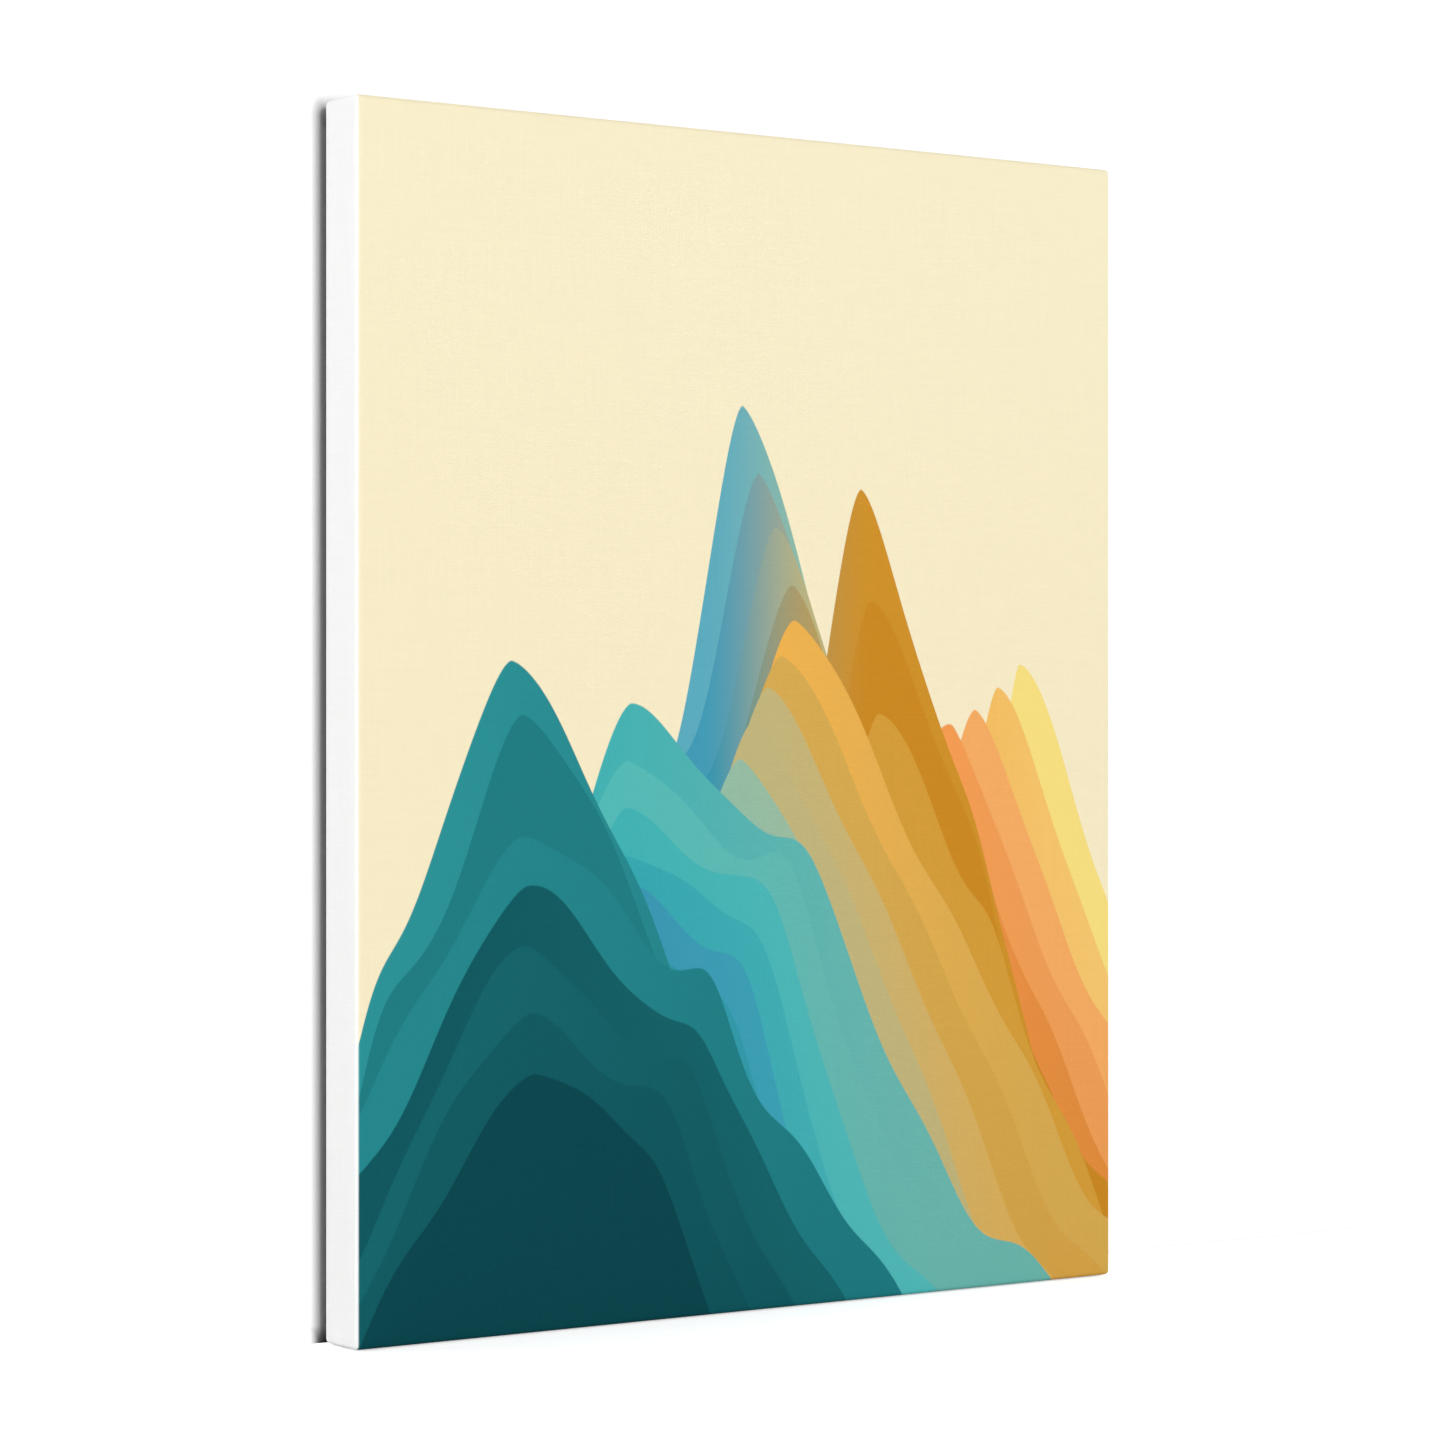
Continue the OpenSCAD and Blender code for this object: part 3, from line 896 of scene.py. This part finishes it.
@dataclass
class StretchedCloth:
    """The cloth, drawn tight over the front, folded at the corners and stapled behind."""

    low: Vector
    high: Vector
    back: float
    effects: Effects
    thickness: float = 0.45 * MM
    edge_radius: float = 1.5 * MM
    flap: float = 24 * MM
    bend_steps: int = 6
    fine_step: float = 2.0 * MM
    wide_step: float = 4.0 * MM
    lift_start: float = 14 * MM
    lift_height: float = 0.75 * MM
    dent_depth: float = 0.16 * MM
    pucker_height: float = 0.11 * MM
    pucker_pitch: float = 6.5 * MM
    fold_height: float = 0.85 * MM
    fold_rows: int = 26
    fold_columns: int = 14
    fray_step: float = 3.1 * MM
    fray_seed: int = 41
    hanger_room: float = 28 * MM
    thread_radius: float = 0.13 * MM
    thread_steps: int = 5
    staples: dict[Side, list[tuple[float, float]]] = field(init=False)

    def __post_init__(self) -> None:
        """Works out the middle, the half sizes and where the staples are."""
        low, high = self.low, Vector((self.high.x, self.back, self.high.z))
        self.middle, self.half = (low + high) / 2, (high - low) / 2
        self.staples = {side: crowns(side) for side in Side}

    # -- the main sheet

    def quarter(self) -> bmesh.types.BMesh:
        """Shapes a quarter of the wrapped sheet about the middle, one skin thick."""
        bm = bmesh.new()
        bmesh.ops.create_cube(bm, size=2.0)
        bmesh.ops.scale(bm, verts=bm.verts, vec=self.half)
        bmesh.ops.bevel(bm, geom=bm.edges[:], offset=self.edge_radius, offset_type="OFFSET", affect="EDGES",
                        segments=self.bend_steps, profile=0.5, material=-1)
        back = max(bm.faces, key=lambda face: face.normal.y * face.calc_area())
        bmesh.ops.inset_region(bm, faces=[back], thickness=self.flap - self.edge_radius, depth=0.0,
                               use_boundary=True, use_even_offset=True)
        bmesh.ops.delete(bm, geom=[back], context="FACES")
        for axis in (ACROSS, UPWARD):
            self.cut(bm, axis, 0.0, clear=True)
        for axis, half in ((ACROSS, self.half.x), (UPWARD, self.half.z), (DEEP_WAY, self.half.y)):
            for place in self.cuts(axis, half):
                self.cut(bm, axis, place)
        return bm

    def cut(self, bm: bmesh.types.BMesh, axis: Vector, place: float, clear: bool = False) -> None:
        """Cuts a mesh across.

        Args:
            bm: The mesh.
            axis: The axis that the cut is square to.
            place: Where on it.
            clear: Whether what lies before the cut goes.
        """
        bmesh.ops.bisect_plane(bm, geom=bm.verts[:] + bm.edges[:] + bm.faces[:], plane_co=axis * place,
                               plane_no=axis, clear_inner=clear, dist=1e-7)

    def cuts(self, axis: Vector, half: float) -> list[float]:
        """Lists where the sheet is cut along an axis.

        Args:
            axis: The axis.
            half: The half size there.

        Returns:
            The places, from the middle.
        """
        if axis.y:
            reach = half - self.edge_radius
            return [reach * share for share in (-0.6, -0.2, 0.2, 0.6)]
        fine = int((self.flap - self.edge_radius) / self.fine_step)
        inner = half - self.edge_radius - fine * self.fine_step
        wide = int(inner / self.wide_step)
        near = [half - self.edge_radius - i * self.fine_step for i in range(1, fine + 1)]
        return near + [inner * i / wide for i in range(1, wide)]

    def whole(self) -> bmesh.types.BMesh:
        """Mirrors the quarter into the whole sheet and puts it in place."""
        bm = self.quarter()
        for axis in ("X", "Z"):
            bmesh.ops.mirror(bm, geom=bm.verts[:] + bm.edges[:] + bm.faces[:], matrix=Matrix.Identity(4),
                             merge_dist=1e-6, axis=axis)
        bmesh.ops.remove_doubles(bm, verts=bm.verts, dist=1e-6)
        bmesh.ops.recalc_face_normals(bm, faces=bm.faces)
        bmesh.ops.translate(bm, verts=bm.verts, vec=self.middle)
        return bm

    def depths(self, x: float, z: float) -> tuple[float, float]:
        """How far in a place lies from the nearer upright side, and from the nearer side across."""
        return self.half.x - abs(x - self.middle.x), self.half.z - abs(z - self.middle.z)

    def nearest(self, place: Vector) -> tuple[Side, float]:
        """The side that a place is nearest to, and the place along it."""
        from_upright, from_across = self.depths(place.x, place.z)
        if from_upright < from_across:
            return (Side.RIGHT if place.x > self.middle.x else Side.LEFT), place.z
        return (Side.TOP if place.z > self.middle.z else Side.BOTTOM), place.x

    def settle(self, bm: bmesh.types.BMesh) -> None:
        """Pulls the flaps down at the staples and lets their cut edge lift and wander.

        Args:
            bm: The whole sheet, one skin thick.
        """
        flat_behind = self.back - 0.02 * MM
        for vert in bm.verts:
            inward, other = sorted(self.depths(vert.co.x, vert.co.z))
            if vert.co.y < flat_behind or inward < self.edge_radius * 0.9:
                continue
            side, along = self.nearest(vert.co)
            across, up = side.value
            spot = min(self.staples[side], key=lambda spot: abs(spot[1 if across else 0] - along))
            aside, past = along - spot[1 if across else 0], inward - min(self.depths(*spot))
            free = smooth(self.lift_start, self.flap, inward)
            calm = smooth(self.flap, self.flap + 10 * MM, other)
            stray = noise.noise(Vector((along * 38, 3.0 * across, 5.0 * up + 2)))
            ragged = noise.noise(Vector((along * 95, 9.0, 4.0 * across + up)))
            lift = self.lift_height * free * free * (0.75 + 0.9 * stray) * (1 - 0.75 * hump(aside, 7 * MM))
            lift -= self.dent_depth * hump(math.hypot(aside / 1.5, past), 2.6 * MM)
            pull = hump(past + 6 * MM, 5 * MM) * hump(aside, 9 * MM)
            lift += self.pucker_height * pull * math.cos(2 * math.pi * aside / self.pucker_pitch)
            vert.co.y += max(-0.12 * MM, lift) * max(calm, 0.15)
            vert.co -= Vector((across, 0, up)) * free * calm * (0.5 * stray + 0.35 * ragged) * MM

    # -- the folded corners

    def fold(self, bm: bmesh.types.BMesh, corner: tuple[int, int]) -> None:
        """Adds one folded corner, from the side round to the slanting fold behind.

        Args:
            bm: The cloth's mesh.
            corner: The corner's direction across and up.
        """
        leaf = bmesh.new()
        bmesh.ops.create_grid(leaf, x_segments=self.fold_columns, y_segments=self.fold_rows, size=0.5)
        for vert in leaf.verts:
            vert.co = self.fold_place(vert.co.x + 0.5, vert.co.y + 0.5, corner)
        leaf.normal_update()
        behind = [face for face in leaf.faces if face.calc_center_median().y > self.back]
        if sum(face.normal.y * face.calc_area() for face in behind) < 0:
            bmesh.ops.reverse_faces(leaf, faces=leaf.faces)
        mesh = bpy.data.meshes.new("fold")
        leaf.to_mesh(mesh)
        leaf.free()
        bm.from_mesh(mesh)
        bpy.data.meshes.remove(mesh)

    def fold_place(self, aside: float, along: float, corner: tuple[int, int]) -> Vector:
        """Places one point of a fold.

        Args:
            aside: From the fold's edge, 0, to where it dies away, 1.
            along: From the front, 0, to the flap's cut edge, 1.
            corner: The corner's direction across and up.

        Returns:
            The point.
        """
        radius, depth = self.edge_radius, 2 * self.half.y
        start = radius * 1.15
        flat, bend = depth - start - radius, radius * math.pi / 2
        travel = along * (flat + bend + self.flap - radius - 0.6 * MM)
        angle = min(max(0.0, travel - flat) / radius, math.pi / 2)
        deep = start + min(travel, flat) + radius * math.sin(angle)
        inward = radius * (1 - math.cos(angle)) + max(0.0, travel - flat - bend)
        edge = radius * 0.75 + max(0.0, inward - 0.4 * radius)
        far = self.flap + 1.5 * MM
        if inward < radius:
            far = min(edge + 1.1 * (deep - start) + 0.8 * MM, far)
        far = max(far, edge + 0.3 * MM)
        across = edge + (far - edge) * (0.35 * smooth(0.0, 1.0, aside) + 0.65 * aside)
        full = 0.55 + 0.45 * smooth(0.5 * radius, 3 * radius, inward)
        lip = min(1.0, (across - edge) / (0.7 * MM))
        rise = self.fold_height * full * smooth(0.0, 9 * MM, travel) * math.sqrt(max(0.0, 1 - (1 - lip) ** 2))
        rise = rise * smooth(0.0, 3.0 * MM, far - across) - 0.05 * MM
        return Vector((self.middle.x + corner[0] * (self.half.x - across),
                       self.low.y + deep + math.sin(angle) * rise,
                       self.middle.z + corner[1] * (self.half.z - inward + math.cos(angle) * rise)))

    # -- skins and maps

    def thicken(self, bm: bmesh.types.BMesh) -> None:
        """Gives the cloth its thickness inwards and marks its inner skin."""
        skin = bm.verts.layers.float.new("inner_skin")
        bm.normal_update()
        outer = set(bm.verts)
        bmesh.ops.solidify(bm, geom=bm.faces[:], thickness=self.thickness)
        for vert in bm.verts:
            if vert not in outer:
                vert[skin] = 1.0

    def thread_lay(self, bm: bmesh.types.BMesh) -> None:
        """Writes where each point lies on the flat cloth, in metres, as a map."""
        layer = bm.loops.layers.uv.new("ThreadLay")
        for face in bm.faces:
            main = max(range(3), key=lambda i: abs(face.normal[i]))
            for loop in face.loops:
                p = loop.vert.co - self.middle
                if main == 1:
                    lay = (p.x, p.z) if p.y < 0 else (p.x + 0.31, p.z + 0.17)
                elif main == 0:
                    lay = (math.copysign(self.half.x + self.half.y + p.y, p.x), p.z)
                else:
                    lay = (p.x, math.copysign(self.half.z + self.half.y + p.y, p.z))
                loop[layer].uv = lay

    def bake_lay(self, bm: bmesh.types.BMesh) -> None:
        """Lays the cloth out in one square with the picture largest, as a second map."""
        layer = bm.loops.layers.uv.new("OFBake")
        spans = 2 * self.half + Vector((0, 2 * MM, 0))
        for face in bm.faces:
            normal, centre = face.normal, face.calc_center_median() - self.middle
            main = max(range(3), key=lambda i: abs(normal[i]))
            if main == 1:
                left, low, wide, tall = FLAT_BOXES[centre.y < 0, (normal.y < 0) == (centre.y < 0)]
                axes = (0, 2)
            else:
                left, low, wide, tall, step = SIDE_BOXES[main, normal.dot(centre) > 0]
                left += step * (centre[main] > 0)
                axes = (1, 2 - main)
            for loop in face.loops:
                p = loop.vert.co - self.middle
                u, v = (min(1, max(0, p[axis] / spans[axis] + 0.5)) for axis in axes)
                loop[layer].uv = (left + wide * u, low + tall * v)

    def build(self) -> bpy.types.Object:
        """Builds the cloth as one piece in place of its CAD node.

        Returns:
            The piece.
        """
        bm = self.whole()
        self.settle(bm)
        for corner in CORNERS:
            self.fold(bm, corner)
        self.thicken(bm)
        bm.normal_update()
        self.thread_lay(bm)
        self.bake_lay(bm)
        size = (2 * self.half.x, 2 * self.half.z)
        finish = ClothFinish("primed_cloth", self.middle, size, self.low.y, self.edge_radius)
        piece = make_piece("printed_cloth", bm, finish.make(self.effects))
        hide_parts("canvas")
        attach(piece, ROOT_BODY)
        return piece

    # -- loose threads

    def fray(self) -> bpy.types.Object:
        """Makes the short threads that stand out of the cut edge.

        Returns:
            The piece.
        """
        draw = random.Random(self.fray_seed)
        bm = bmesh.new()
        for side in Side:
            half_run = (self.half.z if side.value[0] else self.half.x) - self.flap - 2 * MM
            along = -half_run
            while along < half_run:
                along += self.fray_step * draw.uniform(0.5, 1.9)
                if side is not Side.TOP or abs(along) >= self.hanger_room:
                    self.thread(bm, side, along, draw)
        bmesh.ops.recalc_face_normals(bm, faces=bm.faces)
        piece = make_piece("loose_threads", bm, ThreadFinish("loose_thread").make(self.effects))
        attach(piece, ROOT_BODY)
        return piece

    def thread(self, bm: bmesh.types.BMesh, side: Side, along: float, draw: random.Random) -> None:
        """Adds one loose thread, a thin tube that bends away from the cloth and ends in a point.

        Args:
            bm: The threads' mesh.
            side: The side whose flap it comes from.
            along: Where, from the middle of the side.
            draw: The seeded draws.
        """
        across, up = side.value
        out = Vector((across, 0, up))
        way = UPWARD if across else Vector((-up, 0, 0))
        reach = self.half.x if across else self.half.z
        root = self.middle + out * (reach - self.flap + 0.9 * MM) + way * along
        root.y = self.back + 0.05 * MM
        length = draw.uniform(1.2, 4.2) * MM
        lean, rise = draw.uniform(-0.7, 0.7), draw.uniform(0.0, 0.45)
        verts = bmesh.ops.create_circle(bm, cap_ends=True, segments=5, radius=self.thread_radius)["verts"]
        turn = UPWARD.rotation_difference(-out).to_matrix()
        bmesh.ops.rotate(bm, verts=verts, cent=(0, 0, 0), matrix=turn)
        bmesh.ops.translate(bm, verts=verts, vec=root)
        ring = list(dict.fromkeys(edge for vert in verts for edge in vert.link_edges))
        for step in range(self.thread_steps):
            share = (step + 1) / self.thread_steps
            grown = bmesh.ops.extrude_edge_only(bm, edges=ring)["geom"]
            verts = [item for item in grown if isinstance(item, bmesh.types.BMVert)]
            ring = [item for item in grown
                    if isinstance(item, bmesh.types.BMEdge) and all(v in verts for v in item.verts)]
            heading = (-out + way * lean * share + DEEP_WAY * rise * (1 - share)).normalized()
            bmesh.ops.translate(bm, verts=verts, vec=heading * length / self.thread_steps)
        tip = sum((vert.co for vert in verts), Vector()) / len(verts)
        bmesh.ops.pointmerge(bm, verts=verts, merge_co=tip)


def make_piece(name: str, bm: bmesh.types.BMesh, material: bpy.types.Material,
               soft: bool = True) -> bpy.types.Object:
    """Turns a mesh into an object of the scene.

    Args:
        name: The piece's name.
        bm: Its mesh, which is freed.
        material: Its material.
        soft: Whether its faces are shaded smooth.

    Returns:
        The object.
    """
    mesh = bpy.data.meshes.new(name)
    bm.to_mesh(mesh)
    bm.free()
    if soft:
        mesh.shade_smooth()
    mesh.materials.append(material)
    piece = bpy.data.objects.new(name, mesh)
    bpy.context.scene.collection.objects.link(piece)
    return piece


# ---------------------------------------------------------------- the frame


@dataclass
class StretcherFrame:
    """The bars, keys, staples, hanger and bumpers, dressed where the CAD has them."""

    effects: Effects
    key_heart: tuple[float, float, float] = (0.0, 0.02, 0.05)
    key_knot: tuple[float, float, float] = (5.0, 5.0, 5.0)

    def dress(self, start: str, finish: Finish, end: str = "") -> list[str]:
        """Gives a finish to some CAD nodes.

        Args:
            start: What their names start with.
            finish: The finish.
            end: What their names end with.

        Returns:
            The nodes.
        """
        material = finish.make(self.effects)
        nodes = [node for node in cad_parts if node.startswith(start) and node.endswith(end)]
        for node in nodes:
            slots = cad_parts[node].data.materials
            slots.clear()
            slots.append(material)
        return nodes

    def bars(self) -> list[str]:
        """Dresses the four bars, each cut from its own plank."""
        planks = (
            ("bar_top", WoodFinish("pine_top", Run.ACROSS, (0.0, 0.016, 0.296), (0.052, 0.0088, 0.337))),
            ("bar_bottom", WoodFinish("pine_bottom", Run.ACROSS, (0.0, 0.030, 0.035), (-0.071, 0.0088, 0.022),
                                      ring_pitch=1.9 * MM, late=(0.50, 0.29, 0.13))),
            ("bar_left", WoodFinish("pine_left", Run.UPRIGHT, (0.0, 0.022, 0.152), (0.232, 0.0088, 0.109),
                                    ring_pitch=2.6 * MM, early=(0.78, 0.585, 0.35))),
            ("bar_right", WoodFinish("pine_right", Run.UPRIGHT, (0.0, 0.014, -0.085), (0.118, 0.0088, -0.109),
                                     knot_size=2.2 * MM, ring_pitch=2.1 * MM)),
        )
        return [node for bar, plank in planks for node in self.dress(bar, plank)]

    def keys(self) -> list[str]:
        """Dresses the eight keys, sawn from paler wood with no knots in it."""
        pale = dict(early=(0.80, 0.63, 0.41), late=(0.64, 0.44, 0.24), dark=(0.30, 0.18, 0.09),
                    ring_pitch=1.3 * MM, saw_pitch=0.9 * MM, saw_depth=0.03 * MM, scatter=0.6)
        dressed = []
        for run in Run:
            way = run.name.lower()
            finish = WoodFinish(f"key_{way}", run, self.key_heart, self.key_knot, **pale)
            dressed += self.dress("key_", finish, way)
        return dressed

    def fixings(self) -> list[str]:
        """Dresses the staples, the hanger, its nails and the bumpers."""
        zinc = MetalFinish("staple_zinc", (0.52, 0.53, 0.56), (0.38, 0.40, 0.44), (0.20, 0.36))
        plate = MetalFinish("hanger_plate", (0.72, 0.66, 0.50), (0.58, 0.54, 0.44), (0.16, 0.32), 110.0, 0.45)
        wire = MetalFinish("nail_wire", (0.78, 0.74, 0.62), (0.58, 0.52, 0.42), (0.20, 0.36))
        rubber = RubberFinish("bumper_rubber")
        finishes = {"staples_": zinc, "sawtooth_hanger": plate, "hanger_nails": wire, "bumper_": rubber}
        return [node for start, finish in finishes.items() for node in self.dress(start, finish)]


# ---------------------------------------------------------------- the stage


@dataclass(frozen=True)
class FloorFinish(Finish):
    """Pale matte paint that glows white to the eye away from the canvas."""

    plain = {"Roughness": 0.8, "Base Color": (0.86, 0.86, 0.855), "Emission Strength": 1.0}

    def lay(self, coat: Coat, bench: Bench, effects: Effects) -> None:
        """Lays the glow; see Finish.lay."""
        away = bench.range(bench.move("LENGTH", coat.place), 0.3, 1.6, 0.5, 1.0)
        glow = bench.out("ShaderNodeLightPath", "Is Camera Ray") * away
        bench.feed(coat.shader.inputs["Emission Color"], bench.vector(glow, glow, glow))


@dataclass(frozen=True)
class WallFinish(Finish):
    """White paint with a painted shadow, darker in colour where the canvas stands near it, and clear from
    behind.
    """

    side: float
    top: float
    reach: float = 5.35 * MM
    depth: float = 2.8
    samples: int = 16
    white: Colour = (0.98, 0.98, 0.98)
    painted_shadow_black: Colour = (0.0, 0.0, 0.0)
    plain = {"Roughness": 0.9, "Specular IOR Level": 0.0}

    def lay(self, coat: Coat, bench: Bench, effects: Effects) -> None:
        """Lays the painted shade, the places where it fades out, and the clear back; see Finish.lay."""
        # Painted shadow: ambient occlusion darkens the wall's colour next to the canvas, faded out behind it,
        # at its foot and above its top.
        corner = bench.add("ShaderNodeAmbientOcclusion", samples=self.samples)
        bench.feed(corner.inputs["Distance"], self.reach)
        x, _, height = bench.parts(coat.place)
        out = abs(x)
        behind = bench.range(out, self.side - 8 * MM, self.side - 3 * MM, 1.0, 0.0)
        below = bench.range(height, self.top - 8 * MM, self.top - 3 * MM, 1.0, 0.0)
        foot = bench.range(height, 2 * MM, 9 * MM, 1.0, 0.0)
        beside = bench.range(out, self.side - 1 * MM, self.side + 4 * MM)
        above = bench.range(height, self.top - 4 * MM, self.top + 3 * MM, 0.0, 0.9)
        shade = Wire(bench, corner.outputs["AO"]) ** self.depth
        for fade in (behind * below, foot * beside, above):
            shade = bench.sum("MAXIMUM", shade, fade)
        # The painted shade mixes the wall's colour towards black.
        coat.surface(bench.mix(shade, self.painted_shadow_black, self.white))
        backfacing = bench.out("ShaderNodeNewGeometry", "Backfacing")
        clear = bench.out("ShaderNodeBsdfTransparent")
        paint = Wire(bench, coat.shader.outputs[0])
        mixed = bench.fill(bench.add("ShaderNodeMixShader"), backfacing, paint, clear)
        output = coat.material.node_tree.nodes["Material Output"]
        bench.feed(output.inputs["Surface"], Wire(bench, mixed.outputs[0]))


@dataclass(frozen=True)
class Lamp:
    """A soft round lamp. Its azimuth, in degrees, is 0 in front and 90 to the right."""

    name: str
    azimuth: float
    elevation: float
    distance: float
    size: float
    power: float

    def hang(self, centre: Vector) -> None:
        """Hangs the lamp so that it looks at centre."""
        a, e = math.radians(self.azimuth), math.radians(self.elevation)
        way = Vector((math.sin(a) * math.cos(e), -math.cos(a) * math.cos(e), math.sin(e)))
        data = bpy.data.lights.new(self.name, "AREA")
        data.shape, data.size, data.energy = "DISK", self.size, self.power
        lamp = bpy.data.objects.new(self.name, data)
        bpy.context.scene.collection.objects.link(lamp)
        lamp.location = centre + way * self.distance
        lamp.rotation_mode = "QUATERNION"
        lamp.rotation_quaternion = way.to_track_quat("Z", "Y")


LAMPS = (
    Lamp("front_lamp", -6, 22, 5.0, 1.5, 163),
    Lamp("left_lamp", -88, 8, 4.0, 1.8, 54),
    Lamp("right_lamp", 88, 12, 2.6, 1.2, 21),
    Lamp("back_left_lamp", 238, 38, 2.4, 0.6, 20),
    Lamp("back_right_lamp", 150, 30, 2.4, 0.8, 6),
)


@dataclass
class Stage:
    """A pale floor, a white wall behind the canvas, soft lamps and the camera."""

    box: tuple[Vector, Vector]
    effects: Effects
    span: float = 6.0
    wall_foot: float = 0.5
    floor_gap: float = 0.45 * MM
    wall_gap: float = 0.1 * MM
    lens: float = 102.5
    sensor: float = 36.0
    eye: tuple[float, float, float] = (-0.7263, -1.0188, 0.1777)
    azimuth: float = math.radians(35.238)
    fill_light: float = 0.26
    glossy_light: float = 0.55
    seen_light: float = 1.05

    def sheet(self, name: str, finish: Finish, place: Vector, tilt: float = 0.0) -> bpy.types.Object:
        """Makes one big plane of the stage.

        Args:
            name: Its name.
            finish: Its finish.
            place: Where its middle is.
            tilt: How far it is turned up from level, in radians.

        Returns:
            The object.
        """
        bm = bmesh.new()
        bmesh.ops.create_grid(bm, x_segments=1, y_segments=1, size=self.span / 2)
        bmesh.ops.rotate(bm, verts=bm.verts, cent=(0, 0, 0), matrix=Matrix.Rotation(tilt, 3, "X"))
        bmesh.ops.translate(bm, verts=bm.verts, vec=place)
        piece = make_piece(name, bm, finish.make(self.effects), soft=False)
        return piece

    def sheets(self) -> list[str]:
        """Lays the floor just under the canvas and stands the wall just behind its bumpers."""
        low, high = self.box
        floor = self.sheet("studio_floor", FloorFinish("pale_floor"), Vector((0, 0, low.z - self.floor_gap)))
        behind = Vector((0, high.y + self.wall_gap, self.span / 2 - self.wall_foot))
        wall = self.sheet("studio_backdrop", WallFinish("white_wall", high.x, high.z), behind, math.pi / 2)
        wall.visible_shadow = wall.visible_diffuse = wall.visible_glossy = False
        return [floor.name, wall.name]

    def air(self) -> None:
        """Fills the surroundings with white light, brighter to the eye and in metal than on flat surfaces."""
        world = bpy.data.worlds.new("studio_air")
        world.use_nodes = True
        bench = Bench(world.node_tree)
        rays = bench.add("ShaderNodeLightPath").outputs
        seen = Wire(bench, rays["Is Camera Ray"])
        light = bench.range(seen, 0.0, 1.0, self.fill_light, self.seen_light, soft=False)
        glossy = Wire(bench, rays["Is Glossy Ray"]) * self.glossy_light
        ground = world.node_tree.nodes["Background"]
        bench.feed(ground.inputs["Color"], (1.0, 1.0, 1.0))
        bench.feed(ground.inputs["Strength"], light + glossy)
        bpy.context.scene.world = world

    def camera(self) -> None:
        """Sets the camera level with the middle of the canvas, to its left."""
        data = bpy.data.cameras.new("studio_camera")
        data.lens, data.sensor_width = self.lens, self.sensor
        camera = bpy.data.objects.new("studio_camera", data)
        bpy.context.scene.collection.objects.link(camera)
        camera.location = self.eye
        camera.rotation_euler = (math.pi / 2, 0.0, -self.azimuth)
        bpy.context.scene.camera = camera
        bpy.context.scene.view_settings.view_transform = "Standard"

    def build(self) -> list[str]:
        """Sets the whole stage and names its sheets."""
        sheets = self.sheets()
        for lamp in LAMPS:
            lamp.hang((self.box[0] + self.box[1]) / 2)
        self.air()
        self.camera()
        return sheets


# ---------------------------------------------------------------- main


def write_sizes() -> None:
    """Updates the view layer."""
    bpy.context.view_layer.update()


def main() -> None:
    """Builds every sub-assembly in order and reports each piece."""
    logging.basicConfig(level=logging.INFO, format="%(message)s")
    effects = Effects()
    low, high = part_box("canvas")
    bar_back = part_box("bar_top")[1].y
    cloth = StretchedCloth(low, high, bar_back + StretchedCloth.thickness, effects)
    sheet = cloth.build()
    threads = cloth.fray()
    flat = (2 * (cloth.half.x + 2 * cloth.half.y + cloth.flap),
            2 * (cloth.half.z + 2 * cloth.half.y + cloth.flap))
    log.info("%s: %d faces, cut %.1f by %.1f mm", sheet.name, len(sheet.data.polygons), flat[0] / MM,
             flat[1] / MM)
    log.info("%s: %d faces", threads.name, len(threads.data.polygons))
    wood = StretcherFrame(effects)
    log.info("bars: %s", ", ".join(wood.bars()))
    log.info("keys: %s", ", ".join(wood.keys()))
    log.info("fixings: %s", ", ".join(wood.fixings()))
    log.info("stage: %s", ", ".join(Stage(CAD_BOX, effects).build()))
    write_sizes()


if __name__ == "__main__":
    main()
